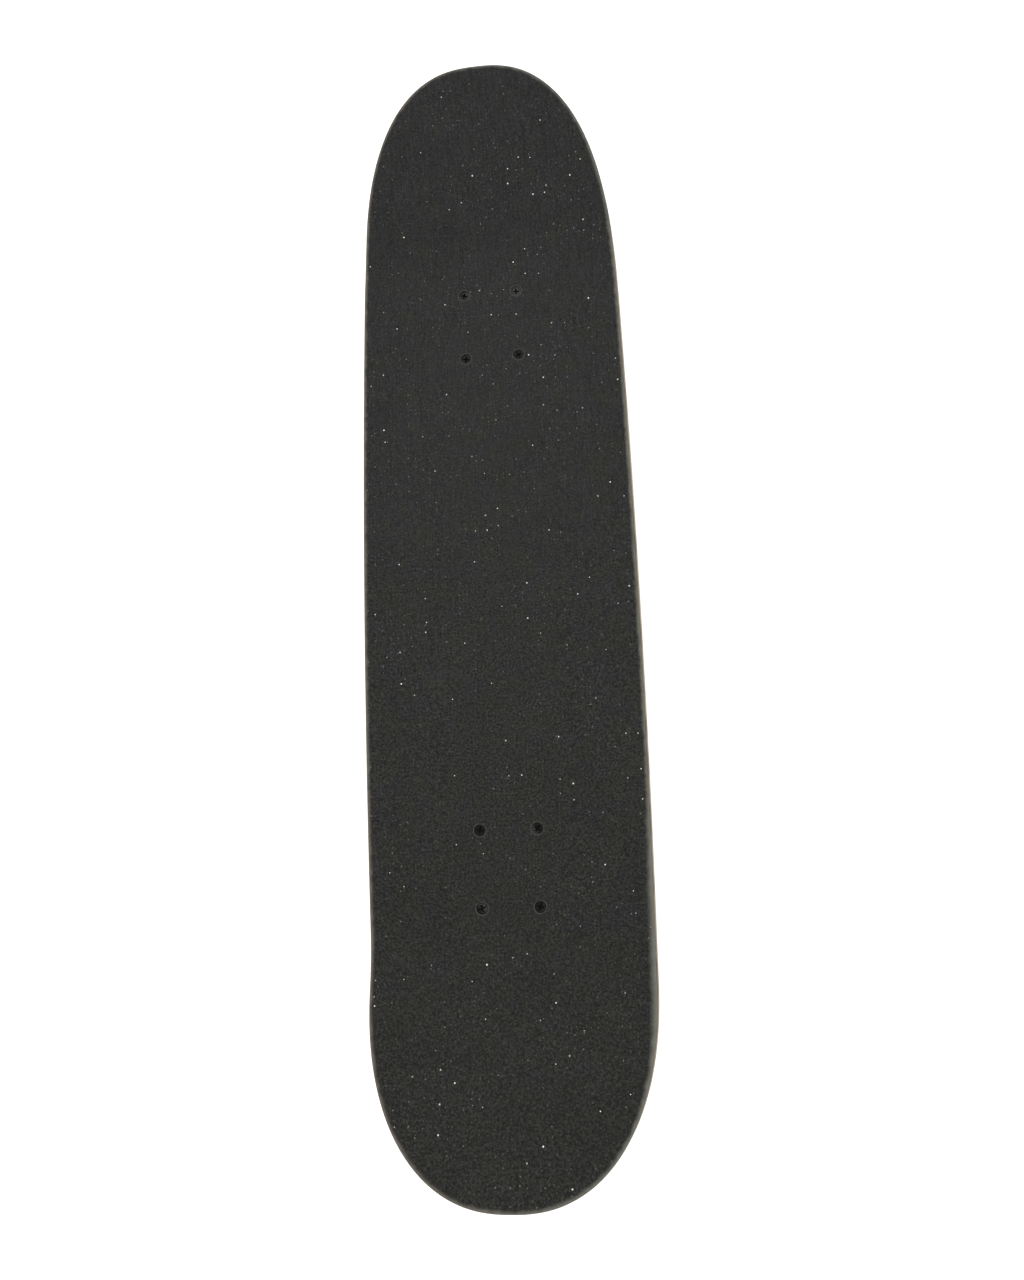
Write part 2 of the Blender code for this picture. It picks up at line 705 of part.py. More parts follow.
tip = PIVOT_TIP_RADIUS
stem = turned(
    "stem",
    [
        (0, tip),
        (tip * 0.5, tip * math.cos(math.pi / 6)),
        (tip * math.cos(math.pi / 6), tip * 0.5),
        (tip, 0),
        (tip, -PIVOT_CUP_LIP - REST_GAP),
        (STEM_ROOT_RADIUS, -STEM_LENGTH + 0.002),
        (STEM_ROOT_RADIUS, -STEM_LENGTH - 0.002),
        (0, -STEM_LENGTH - 0.004),
    ],
    16,
    False,
    pivot_frame,
)
arm_frame = along(ARM_FOOT, STEM_ROOT - ARM_FOOT)
arm_length = (STEM_ROOT - ARM_FOOT).length
arm = rod(
    "arm", YOKE_TOP_RADIUS + 0.0004, -0.001, arm_length, 20, arm_frame, STEM_ROOT_RADIUS + 0.0003
)
ring_middle = RING_AT + RING_THICKNESS / 2
ring = rod(
    "ring", RING_RADIUS, RING_AT, RING_AT + RING_THICKNESS, 28, kingpin_frame
)
# In the kingpin's frame +Z runs down the pin and -Y runs towards the pivot.
web_reach = (kingpin_frame.inverted() @ ARM_FOOT).y
web = block(
    "web",
    (0.021, abs(web_reach), RING_THICKNESS - 0.0002),
    (0, web_reach / 2, ring_middle),
    kingpin_frame,
)
hanger_mesh = baked(
    "hanger",
    yoke,
    joins=[arm, stem, ring, web],
    cuts=[
        rod("ring_hole", RING_HOLE_RADIUS, RING_AT - 0.01, RING_AT + 0.02, 20, kingpin_frame),
        rod("axle_hole", AXLE_RADIUS + BORE_GAP, -0.2, 0.2, 12, axle_frame),
    ],
)

axle_mesh = baked(
    "axle",
    turned(
        "axle_rod",
        [
            (0, AXLE_HALF),
            (AXLE_RADIUS - 0.0006, AXLE_HALF),
            (AXLE_RADIUS, AXLE_HALF - 0.0006),
            (AXLE_RADIUS, -AXLE_HALF + 0.0006),
            (AXLE_RADIUS - 0.0006, -AXLE_HALF),
            (0, -AXLE_HALF),
        ],
        12,
        False,
    ),
)
axle_nut_mesh = baked(
    "axle_nut",
    rod("nut", hex_radius(AXLE_NUT_FLATS), 0, AXLE_NUT_HEIGHT, 6),
    cuts=[rod("nut_hole", AXLE_RADIUS + BORE_GAP, -0.01, 0.02, 12)],
)

# ---- Wheel meshes, with Z along the axle ----

seat = BEARING_RADIUS + REST_GAP
floor = BEARING_HALF + REST_GAP
half_width = WHEEL_WIDTH / 2
inner_lip = WHEEL_RECESS_RADIUS + 0.0012
shoulder = [
    (CORE_HOLE_RADIUS, CORE_HALF - REST_GAP),
    (seat, CORE_HALF - REST_GAP),
    (seat, floor),
    (WHEEL_RECESS_RADIUS, floor),
    (inner_lip, half_width - 0.0006),
    (WHEEL_LIP_RADIUS, half_width),
    (WHEEL_RADIUS - 0.0016, half_width - 0.0022),
    (WHEEL_RADIUS, WHEEL_CONTACT / 2),
]
wheel_mesh = baked(
    "wheel",
    turned("tyre", shoulder + [(r, -z) for r, z in reversed(shoulder)], 24, True),
)
outer_mesh = baked(
    "outer_race",
    turned(
        "outer",
        [
            (BEARING_RADIUS, BEARING_WIDTH),
            (BEARING_RADIUS, 0),
            (BEARING_RADIUS - OUTER_RACE_WALL, 0),
            (BEARING_RADIUS - OUTER_RACE_WALL, BEARING_WIDTH),
        ],
        16,
        True,
    ),
)
sleeve_mesh = baked(
    "inner_races",
    turned(
        "sleeve",
        [
            (INNER_RACE_RADIUS, BEARING_HALF),
            (INNER_RACE_RADIUS, CORE_HALF),
            (SPACER_RADIUS, CORE_HALF),
            (SPACER_RADIUS, -CORE_HALF),
            (INNER_RACE_RADIUS, -CORE_HALF),
            (INNER_RACE_RADIUS, -BEARING_HALF),
            (SLEEVE_BORE_RADIUS, -BEARING_HALF),
            (SLEEVE_BORE_RADIUS, BEARING_HALF),
        ],
        12,
        True,
    ),
)

# ---- The pieces ----

for truck, place, x, y in bolt_places():
    piece(
        f"bolt_{truck}_{place}",
        bolt_mesh,
        BLACK_STEEL,
        place=Matrix.Translation((x, y, DECK_TOP_Z)),
    )
    piece(
        f"deck_nut_{truck}_{place}",
        deck_nut_mesh,
        BRIGHT_STEEL,
        place=Matrix.Translation((x, y, PLATE_TOP_Z)),
    )

for truck, side in (("front", -1), ("rear", 1)):
    spot = Matrix.Translation((0, Y_SHIFT + side * TRUCK_OFFSET, PLATE_TOP_Z))
    facing = Matrix.Rotation(0 if side > 0 else math.pi, 4, "Z")
    frame = empty(f"{truck}_truck_frame", None, spot @ facing)
    for name, mesh, look in (
        ("baseplate", plate_mesh, CAST_ALLOY),
        ("pivot_cup", cup_mesh, SOFT_LINER),
        ("kingpin", kingpin_mesh, BLACK_STEEL),
        ("kingpin_nut", kingpin_nut_mesh, BRIGHT_STEEL),
        ("bushing_board", board_bushing_mesh, BUSHING_RUBBER),
        ("bushing_road", road_bushing_mesh, BUSHING_RUBBER),
        ("washer_board", board_washer_mesh, BRIGHT_STEEL),
        ("washer_road", road_washer_mesh, BRIGHT_STEEL),
    ):
        piece(f"{name}_{truck}", mesh, look, frame)
    steer = empty(f"{truck}_steer_axis", frame, Matrix.Translation(RING_CENTRE))
    back = Matrix.Translation(-RING_CENTRE)
    piece(f"hanger_{truck}", hanger_mesh, CAST_ALLOY, steer, back)
    piece(f"axle_{truck}", axle_mesh, BRIGHT_STEEL, steer, back @ axle_frame)
    for hand, world_x in (("left", 1), ("right", -1)):
        out = along(AXLE + Vector((world_x * side * WHEEL_X, 0, 0)), (world_x * side, 0, 0))
        wheel_frame = back @ out
        tag = f"{truck}_{hand}"
        piece(f"wheel_{tag}", wheel_mesh, TYRE, steer, wheel_frame)
        piece(f"inner_races_{tag}", sleeve_mesh, BEARING_STEEL, steer, wheel_frame)
        for spot_name, z in (("inboard", -BEARING_HALF), ("outboard", CORE_HALF)):
            shift = Matrix.Translation((0, 0, z))
            piece(
                f"outer_race_{tag}_{spot_name}",
                outer_mesh,
                BEARING_STEEL,
                steer,
                wheel_frame @ shift,
            )
        shift = Matrix.Translation((0, 0, AXLE_NUT_X - WHEEL_X))
        piece(f"axle_nut_{tag}", axle_nut_mesh, BRIGHT_STEEL, steer, wheel_frame @ shift)
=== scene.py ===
"""Looks of the skateboard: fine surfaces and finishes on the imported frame.

Every piece is a surface worked out with numpy, in metres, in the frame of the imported
model: the nose at -Y, the tail at +Y, the ground at z = 0. A truck's pieces are made in
the truck's own frame, whose origin is in the middle of the top of its baseplate and
whose +Y runs to the near end of the board, and then placed on both trucks.
"""

import math

import bmesh
import bpy
import numpy as np
from mathutils import Matrix, Vector


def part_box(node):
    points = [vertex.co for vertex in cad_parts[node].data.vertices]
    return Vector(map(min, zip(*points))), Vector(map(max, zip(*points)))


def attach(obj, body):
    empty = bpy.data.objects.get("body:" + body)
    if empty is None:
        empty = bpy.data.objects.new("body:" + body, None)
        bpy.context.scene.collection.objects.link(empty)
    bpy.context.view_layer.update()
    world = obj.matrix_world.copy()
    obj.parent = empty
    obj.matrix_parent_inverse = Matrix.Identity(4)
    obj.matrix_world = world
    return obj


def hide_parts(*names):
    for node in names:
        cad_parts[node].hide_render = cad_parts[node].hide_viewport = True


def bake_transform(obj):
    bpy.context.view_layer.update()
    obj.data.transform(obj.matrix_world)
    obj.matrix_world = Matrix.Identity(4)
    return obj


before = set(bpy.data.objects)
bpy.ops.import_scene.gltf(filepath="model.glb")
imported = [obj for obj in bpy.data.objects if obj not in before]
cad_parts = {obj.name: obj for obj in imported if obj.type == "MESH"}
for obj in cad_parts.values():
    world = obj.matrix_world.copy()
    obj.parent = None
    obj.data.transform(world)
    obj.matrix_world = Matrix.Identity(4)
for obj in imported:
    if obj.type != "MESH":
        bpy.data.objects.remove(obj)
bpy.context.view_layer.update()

MM = 0.001

# Places read from the frame
TRUCKS = (("front", -1), ("rear", 1))
HANDS = (("left", 1), ("right", -1))


def centre(node):
    """The middle of a solid's box."""
    low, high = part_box(node)
    return (low + high) / 2


def linked(name, data, finish=None):
    """A new object in the scene, with its finish if it has one."""
    made = bpy.data.objects.new(name, data)
    bpy.context.collection.objects.link(made)
    if finish:
        data.materials.append(finish)
    return made


DECK_LOW, DECK_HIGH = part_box("deck")
DECK_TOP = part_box("bolt_front_inner_left")[1].z
BOLT_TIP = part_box("bolt_front_inner_left")[0].z
PLATE_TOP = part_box("baseplate_front")[1].z
INNER_BOLT = centre("bolt_rear_inner_left")
OUTER_BOLT = centre("bolt_rear_outer_left")
BASE_MIDDLE = (INNER_BOLT.y + centre("bolt_front_inner_left").y) / 2
TRUCK_OFFSET = (INNER_BOLT.y + OUTER_BOLT.y) / 2 - BASE_MIDDLE
BOLT_X = INNER_BOLT.x
BOLT_Y = (OUTER_BOLT.y - INNER_BOLT.y) / 2
WHEEL_CENTRE = centre("wheel_rear_left")
WHEEL_RADIUS = (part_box("wheel_rear_left")[1] - WHEEL_CENTRE).z

# ---- Camera and light ----

CAMERA_FROM_DECK = Vector((0.0871, -0.1797, 0.7083))  # from the deck's top, mid wheelbase
CAMERA_LOOK = Vector((-0.1099, 0.1868, -0.9762))
CAMERA_UP = Vector((0.0572, 0.9817, 0.1814))
CAMERA_LENS = 27.70


def add_camera():
    """The camera stands over the nose half and to the left of the board, looking down."""
    data = bpy.data.cameras.new("camera")
    data.lens = CAMERA_LENS
    data.clip_start = 0.01
    made = linked("camera", data)
    back = -CAMERA_LOOK.normalized()
    right = CAMERA_UP.cross(back).normalized()
    up = back.cross(right)
    turn = Matrix((right, up, back)).transposed().to_4x4()
    turn.translation = Vector((0, BASE_MIDDLE, DECK_TOP)) + CAMERA_FROM_DECK
    made.matrix_world = turn
    bpy.context.scene.camera = made


def add_area(name, place, aim, size, watts):
    """A square soft box at place, facing aim."""
    data = bpy.data.lights.new(name, "AREA")
    data.size = size
    data.energy = watts
    made = linked(name, data)
    made.location = place
    made.rotation_euler = (Vector(aim) - Vector(place)).to_track_quat("-Z", "Y").to_euler()


def add_light():
    """An even white world, a key light past the tail and a weaker fill past the nose."""
    world = bpy.data.worlds.new("studio")
    bpy.context.scene.world = world
    world.use_nodes = True
    background = world.node_tree.nodes["Background"]
    background.inputs["Color"].default_value = (1, 1, 1, 1)
    background.inputs["Strength"].default_value = 0.85
    add_area("key", (-0.9, 1.3, 1.9), (0, 0.1, 0.05), 1.4, 26)
    add_area("fill", (1.5, -0.9, 1.3), (0, 0, 0.05), 1.6, 13)
    bpy.context.scene.view_settings.view_transform = "Standard"


add_camera()
add_light()

# ---- Mesh tools ----


def quads(ids, wrap_rows=False, wrap_columns=True):
    """The four-sided faces between neighbours of a grid of vertex numbers."""
    if wrap_rows:
        ids = np.vstack([ids, ids[:1]])
    if wrap_columns:
        ids = np.hstack([ids, ids[:, :1]])
    return np.stack([ids[:-1, :-1], ids[:-1, 1:], ids[1:, 1:], ids[1:, :-1]], -1).reshape(-1, 4)


def closed_mesh(name, points, faces, sharp=40.0):
    """A mesh with its poles merged, its faces outward, and edges past sharp degrees hard."""
    mesh = bpy.data.meshes.new(name)
    mesh.vertices.add(len(points))
    mesh.vertices.foreach_set("co", np.asarray(points, np.float32).ravel())
    mesh.loops.add(faces.size)
    mesh.loops.foreach_set("vertex_index", faces.ravel().astype(np.int32))
    mesh.polygons.add(len(faces))
    mesh.polygons.foreach_set("loop_start", np.arange(0, faces.size, 4, dtype=np.int32))
    mesh.update(calc_edges=True)
    shape = bmesh.new()
    shape.from_mesh(mesh)
    bmesh.ops.remove_doubles(shape, verts=shape.verts, dist=0.0005 * MM)
    bmesh.ops.recalc_face_normals(shape, faces=shape.faces)
    shape.to_mesh(mesh)
    shape.free()
    mesh.polygons.foreach_set("use_smooth", np.ones(len(mesh.polygons), bool))
    mesh.set_sharp_from_angle(angle=math.radians(sharp))
    return mesh


def axes(direction):
    """Three unit vectors, the last along direction and the first level where it can be."""
    along = np.array(direction, float)
    along /= np.linalg.norm(along)
    side = np.array((1.0, 0, 0)) if abs(along[0]) < 0.9 else np.array((0, 1.0, 0))
    side -= along * side.dot(along)
    side /= np.linalg.norm(side)
    return side, np.cross(along, side), along


def revolved(radius, height, origin=(0, 0, 0), direction=(0, 0, 1), closed=False, columns=64):
    """Points and faces of a surface round an axis.

    Each row is a circle at its radius and height. A row of many radii or heights changes
    round the circle, and its length is then the number of columns. A closed surface joins
    its last row to its first, as a ring does.
    """
    rows = [np.asarray(part, float) for part in (radius, height)]
    rows = [part if part.ndim == 2 else part[:, None] for part in rows]
    radius, height = np.broadcast_arrays(*rows)
    if radius.shape[1] > 1:
        columns = radius.shape[1]
    angle = np.linspace(0, 2 * math.pi, columns, endpoint=False)
    side, across, along = axes(direction)
    points = (
        np.array(origin, float)
        + radius[..., None] * np.cos(angle)[:, None] * side
        + radius[..., None] * np.sin(angle)[:, None] * across
        + height[..., None] * along
    )
    ids = np.arange(len(radius) * columns).reshape(-1, columns)
    return points.reshape(-1, 3), quads(ids, wrap_rows=closed)


def rounded(corners, fillet, closed=False, steps=5):
    """A line through corners, each one replaced by a curve of about fillet, as (n, 2)."""
    corners = np.array(corners, float)
    before = np.roll(corners, 1, 0)
    after = np.roll(corners, -1, 0)
    fillet = np.broadcast_to(np.asarray(fillet, float), len(corners))[:, None]
    back = before - corners
    ahead = after - corners
    back_length = np.linalg.norm(back, axis=1, keepdims=True)
    ahead_length = np.linalg.norm(ahead, axis=1, keepdims=True)
    start = corners + back * np.minimum(fillet, 0.45 * back_length) / back_length
    end = corners + ahead * np.minimum(fillet, 0.45 * ahead_length) / ahead_length
    if not closed:
        start[0] = end[0] = corners[0]
        start[-1] = end[-1] = corners[-1]
    share = np.linspace(0, 1, steps)[None, :, None]
    start, middle, end = start[:, None], corners[:, None], end[:, None]
    curve = (1 - share) ** 2 * start + 2 * share * (1 - share) * middle + share**2 * end
    return curve.reshape(-1, 2)


def smooth_step(value, low, high):
    """0 below low, 1 above high, and an S curve between."""
    share = np.clip((value - low) / (high - low), 0, 1)
    return share * share * (3 - 2 * share)


def piece(name, mesh, finish, slot, body, *nodes):
    """A visible piece that rides on body and stands for the nodes."""
    made = linked(name, mesh, finish)
    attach(made, body)
    if nodes:
        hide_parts(*nodes)


def on_truck(points, side):
    """Points of a truck's own frame in the model's frame; side is -1 for the front truck."""
    turned = np.asarray(points) * np.array((side, side, 1.0))
    return turned + np.array((0, BASE_MIDDLE + side * TRUCK_OFFSET, PLATE_TOP))


# ---- Finishes ----


class Number:
    """A shader socket with one number; arithmetic on it adds Math nodes."""

    def __init__(self, finish, socket):
        self.finish = finish
        self.socket = socket

    def maths(self, operation, first, second=None):
        values = {0: first} if second is None else {0: first, 1: second}
        made = self.finish.node("ShaderNodeMath", {"operation": operation}, values)
        return Number(self.finish, made.outputs[0])

    def __add__(self, other):
        return self.maths("ADD", self, other)

    def __sub__(self, other):
        return self.maths("SUBTRACT", self, other)

    def __rsub__(self, other):
        return self.maths("SUBTRACT", other, self)

    def __mul__(self, other):
        return self.maths("MULTIPLY", self, other)

    def __truediv__(self, other):
        return self.maths("DIVIDE", self, other)

    def __abs__(self):
        return self.maths("ABSOLUTE", self)

    __radd__ = __add__
    __rmul__ = __mul__

    def fraction(self):
        return self.maths("FRACT", self)

    def root(self):
        return self.maths("SQRT", self)

    def larger(self, other):
        return self.maths("MAXIMUM", self, other)

    def rise(self, low, high):
        """0 where this is under low, 1 where it is over high, smooth between."""
        settings = {"interpolation_type": "SMOOTHSTEP", "clamp": True}
        values = {"Value": self, "From Min": low, "From Max": high, "To Min": 0.0, "To Max": 1.0}
        made = self.finish.node("ShaderNodeMapRange", settings, values)
        return Number(self.finish, made.outputs[0])

    def fall(self, low, high):
        """1 where this is under low, 0 where it is over high, smooth between."""
        return 1 - self.rise(low, high)


class Finish:
    """A Principled material whose constants sit on the shader's own sockets."""

    def __init__(self, name, **constants):
        self.material = bpy.data.materials.new(name)
        self.material.use_nodes = True
        self.tree = self.material.node_tree
        self.shader = self.tree.nodes["Principled BSDF"]
        for label, value in constants.items():
            self.shader.inputs[label.replace("_", " ")].default_value = value
        self.place = self.node("ShaderNodeTexCoord").outputs["Object"]

    def node(self, kind, settings=None, inputs=None):
        """A node of that kind, its settings first and then the values or links it takes."""
        made = self.tree.nodes.new(kind)
        for label, value in (settings or {}).items():
            setattr(made, label, value)
        for label, value in (inputs or {}).items():
            self.join(value, made.inputs[label])
        return made

    def join(self, value, socket):
        """Links a socket or a number to the socket, or sets a plain value on it."""
        if isinstance(value, Number):
            value = value.socket
        if isinstance(value, bpy.types.NodeSocket):
            self.tree.links.new(value, socket)
        elif isinstance(value, tuple) and len(value) == 3 and socket.type == "RGBA":
            socket.default_value = (*value, 1)
        else:
            socket.default_value = value

    def parts(self, vector=None):
        """The three numbers of a vector."""
        node = self.node("ShaderNodeSeparateXYZ", None, {0: vector or self.place})
        return [Number(self, socket) for socket in node.outputs]

    def scaled(self, sizes):
        """The place on the piece in steps of sizes millimetres: one size, or one an axis."""
        sizes = sizes if isinstance(sizes, tuple) else (sizes, sizes, sizes)
        values = {0: self.place, 1: tuple(1 / (size * MM) for size in sizes)}
        return self.node("ShaderNodeVectorMath", {"operation": "MULTIPLY"}, values).outputs[0]

    def joined(self, x, y, z=0.0):
        """A vector of three numbers."""
        return self.node("ShaderNodeCombineXYZ", None, {0: x, 1: y, 2: z}).outputs[0]

    def noise(self, vector, detail, roughness=0.5):
        """Cloudy noise from 0 to 1, its lumps one step of the vector wide."""
        values = {"Vector": vector, "Scale": 1.0, "Detail": detail, "Roughness": roughness}
        return Number(self, self.node("ShaderNodeTexNoise", None, values).outputs[0])

    def clouds(self, sizes, detail, roughness=0.5):
        """Cloudy noise with lumps of sizes millimetres."""
        return self.noise(self.scaled(sizes), detail, roughness)

    def cells(self, vector, dimensions="3D"):
        """Distance to the nearest of scattered points, and that point's random colour."""
        settings = {"voronoi_dimensions": dimensions}
        node = self.node("ShaderNodeTexVoronoi", settings, {"Vector": vector, "Scale": 1.0})
        return Number(self, node.outputs["Distance"]), node.outputs["Color"]

    def attribute(self, name):
        """A number that the mesh carries."""
        settings = {"attribute_name": name}
        return Number(self, self.node("ShaderNodeAttribute", settings).outputs["Fac"])

    def mix(self, share, first, second):
        """Colour first where share is 0 and second where it is 1."""
        settings = {"data_type": "RGBA", "clamp_factor": True}
        return self.node("ShaderNodeMix", settings, {0: share, 6: first, 7: second}).outputs[2]

    def shade(self, colour, factor):
        """The colour times a number."""
        values = {0: colour, "Scale": factor}
        return self.node("ShaderNodeVectorMath", {"operation": "SCALE"}, values).outputs[0]

    def done(self, colour, roughness, height=None):
        """Feeds the shader; height is in metres and becomes a bump."""
        self.join(colour, self.shader.inputs["Base Color"])
        self.join(roughness, self.shader.inputs["Roughness"])
        if height is not None:
            values = {"Strength": 1.0, "Distance": 1.0, "Height": height}
            bump = self.node("ShaderNodeBump", None, values)
            self.join(bump.outputs[0], self.shader.inputs["Normal"])
        return self.material


def dimmed(colour, share):
    """A plain colour times share."""
    return tuple(part * share for part in colour)


def bolt_distance(finish):
    """Distance in metres to the axis of the nearest deck bolt, by folding the board twice."""
    x, y, _ = finish.parts()
    away_x = abs(x) - BOLT_X
    away_y = abs(abs(y - BASE_MIDDLE) - TRUCK_OFFSET) - BOLT_Y
    return (away_x * away_x + away_y * away_y).root()


def wheel_distance(finish):
    """Distance in metres to the nearest axle's line."""
    _, y, z = finish.parts()
    away_y = abs(y - BASE_MIDDLE) - TRUCK_OFFSET
    away_z = z - WHEEL_CENTRE.z
    return (away_y * away_y + away_z * away_z).root()


def scattered(finish, spacing, share, radius):
    """A mask of round dots with soft rims, and a random number for each dot.

    A share of the cells, spacing wide, holds one dot each of about that radius, both in
    millimetres. The share rises and falls from place to place.
    """
    away, mark = finish.cells(finish.scaled(spacing), "2D")
    chance, glow, size = finish.parts(mark)
    crowd = finish.clouds(42, 2).rise(0.36, 0.64) * (share * 1.5) + share * 0.25
    reach = radius / spacing * (0.6 + size * 0.8)
    dot = (1 - away / reach).rise(0.0, 0.45)
    return dot * (chance - crowd).fall(-0.01, 0.01), glow


# Layers of dots on the grip sheet: spacing, share of the cells that hold one, radius, the
# least and the most that a dot shows, and its colour. The first layer is dark grains; the
# three light layers are painted glints, specks of light on the grit painted as colour.
GRIT_AND_GLINT_DOTS = (
    (2.1, 0.30, 0.50, 0.20, 0.75, (0.004, 0.004, 0.004)),
    (2.6, 0.38, 0.50, 0.03, 0.11, (0.30, 0.30, 0.27)),
    (5.2, 0.18, 0.48, 0.05, 0.32, (0.42, 0.42, 0.38)),
    (9.5, 0.11, 0.50, 0.30, 1.15, (0.78, 0.77, 0.72)),
)


def grip_finish():
    """Black grit on paper: fine grain, lengthwise streaks, dust, dark grains, painted glints,
    filed edge.
    """
    finish = Finish("grip_grit", Specular_IOR_Level=0.25)
    x, y, _ = finish.parts()
    grain = finish.clouds(1.5, 3, 0.7)
    fine = finish.clouds(0.5, 1)
    streak = finish.clouds((1.2, 12, 9), 2)
    patch = finish.clouds(34, 3, 0.6)
    tint = finish.clouds(13, 3)
    tail_share = y.rise(-0.09, 0.14)
    tone = 1 + (grain - 0.5) * (6.4 - tail_share * 2.8)
    tone = tone + (streak - 0.5) * (0.25 + tail_share * 1.10) + (patch - 0.5) * 0.34
    # Painted shade: the sheet is painted darker towards both ends, most at the nose, standing in
    # for the light falling off there.
    tone = tone + (y - 0.1) * 0.06 - y * y * 0.95
    olive, blue = (0.0153, 0.0154, 0.0126), (0.0149, 0.0148, 0.0152)
    colour = finish.mix((tint - y * 0.22).fall(0.36, 0.62), olive, blue)
    colour = finish.shade(colour, tone.larger(0.25))
    # The light dots are painted glints on the grit; the darkest dots are dark grains.
    for spacing, share, radius, least, most, grit in GRIT_AND_GLINT_DOTS:
        dot, glow = scattered(finish, spacing, share, radius)
        colour = finish.mix(dot * (least + glow * (most - least)), colour, grit)
    rim = finish.attribute("rim")
    ragged = (finish.clouds(6, 3) - 0.5) * (2.6 * MM)
    worn_corner = x.rise(0.03, 0.09) * y.fall(-0.25, -0.12) * y.rise(-0.36, -0.28)
    filed = ((rim + ragged) / (1.0 + worn_corner * 0.80)).fall(0, 3.4 * MM)
    filed_tone = filed * (0.30 + fine * 0.9 + worn_corner * 0.08)
    filed_grit = finish.mix(x.rise(-0.05, 0.05), (0.178, 0.158, 0.128), (0.170, 0.172, 0.144))
    colour = finish.mix(filed_tone, colour, filed_grit)
    bolt = bolt_distance(finish)
    lip = bolt.fall(4.4 * MM, 5.4 * MM)
    colour = finish.mix(lip * (0.04 + grain * 0.34), colour, (0.14, 0.14, 0.13))
    sunk = bolt.fall(3.8 * MM, 5.2 * MM) * (-0.45 * MM)
    height = grain * (0.24 * MM) + fine * (0.18 * MM) + streak * (0.10 * MM) + sunk
    return finish.done(colour, 0.80 + filed * 0.08, height)


PLIES = 7
DECK_THICKNESS = 11.0 * MM


def maple_finish():
    """Pressed maple: seven plies on the rim, and lengthwise grain under clear lacquer."""
    finish = Finish("maple_plies", Specular_IOR_Level=0.45, Coat_Roughness=0.12)
    x, y, _ = finish.parts()
    depth = finish.attribute("depth")
    rim = finish.attribute("rim")
    sway = (finish.clouds((60, 220, 60), 2) - 0.5) * (14 * MM)
    lines = finish.joined((x + sway) / (2.4 * MM), y / (95 * MM), depth / (1.6 * MM))
    bands = finish.noise(lines, 3, 0.55)
    rings = (((x + sway * 3.0) / (15 * MM)) + bands * 0.9).fraction()
    ring_line = (abs(rings - 0.5) * 2).rise(0.72, 0.98)
    pores = finish.clouds((0.35, 5.5, 0.5), 1).rise(0.60, 0.72)
    veneer = finish.mix(bands.rise(0.30, 0.70), (0.64, 0.43, 0.245), (0.76, 0.565, 0.365))
    veneer = finish.mix(ring_line * 0.30, veneer, (0.50, 0.30, 0.15))
    veneer = finish.mix(pores * 0.28, veneer, (0.36, 0.21, 0.10))
    ply = depth / (DECK_THICKNESS / PLIES)
    across = (abs((ply / 2).fraction() - 0.5) * 2).rise(0.46, 0.54)
    glue = abs(ply.fraction() - 0.5).rise(0.44, 0.495)
    fibre = finish.clouds((0.7, 3.0, 0.5), 2)
    edge = finish.mix(across, (0.37, 0.298, 0.200), (0.21, 0.160, 0.100))
    edge = finish.mix(glue * 0.55, edge, (0.085, 0.062, 0.038))
    edge = finish.shade(edge, 0.74 + fibre * 0.46)
    above_base = DECK_THICKNESS - depth
    on_rim = depth.rise(0.5 * MM, 0.9 * MM) * above_base.rise(0.25 * MM, 0.7 * MM)
    colour = finish.mix(on_rim, veneer, edge)
    grime = finish.clouds(22, 4, 0.62).rise(0.44, 0.72)
    near_rim = rim.fall(1.0 * MM, 9.0 * MM)
    colour = finish.mix(grime * near_rim * 0.60, colour, (0.060, 0.045, 0.032))
    # The top 1.2 to 2.8 mm of the rim, just under the grip sheet, is darkened nearly to black.
    top_ring = depth.fall(1.2 * MM, 2.8 * MM)
    colour = finish.mix(top_ring * (0.78 + grime * 0.2), colour, (0.046, 0.046, 0.034))
    scuff = finish.clouds((1.2, 26, 20), 3).rise(0.66, 0.74)
    ends = abs(y).rise(0.30, 0.40)
    colour = finish.mix(scuff * ends * 0.35, colour, (0.42, 0.31, 0.20))
    roughness = 0.30 + on_rim * 0.32 + scuff * ends * 0.25 + grime * near_rim * 0.15
    finish.join((1 - on_rim) * 0.5, finish.shader.inputs["Coat Weight"])
    height = bands * (0.05 * MM) - pores * (0.03 * MM) + fibre * on_rim * (0.07 * MM)
    return finish.done(colour, roughness, height - glue * on_rim * (0.06 * MM))


def black_steel_finish():
    """Black oxide steel, with grey dust on the faces of some of the heads."""
    finish = Finish("black_oxide", Metallic=0.5, Specular_IOR_Level=0.12)
    dust = finish.clouds(1.3, 3, 0.6)
    patch = finish.clouds(31, 1).rise(0.50, 0.62)
    _, _, z = finish.parts()
    head = z.rise(DECK_TOP - 1.2 * MM, DECK_TOP - 0.15 * MM)
    colour = finish.mix(dust, (0.004, 0.004, 0.004), (0.011, 0.011, 0.011))
    share = head * (dust.rise(0.36, 0.62) * (0.03 + patch * 0.55))
    colour = finish.mix(share, colour, (0.10, 0.10, 0.09))
    return finish.done(colour, 0.42 + share * 0.5, dust * (0.03 * MM))


def bright_steel_finish(name, colour, roughness, turned=True):
    """Plated or ground steel: faint turning marks round the axles and small dull spots."""
    finish = Finish(name, Metallic=1.0)
    radius = wheel_distance(finish)
    x, _, _ = finish.parts()
    marks = finish.noise(finish.joined(radius / (0.16 * MM), x / (0.5 * MM)), 2)
    spots = finish.clouds(1.6, 4, 0.65)
    dull = spots.rise(0.50, 0.70)
    shaded = finish.mix(dull * 0.45, colour, dimmed(colour, 0.55))
    height = spots * (0.02 * MM)
    if turned:
        height = height + marks * (0.018 * MM)
    return finish.done(shaded, roughness + dull * 0.14 + marks * 0.06, height)


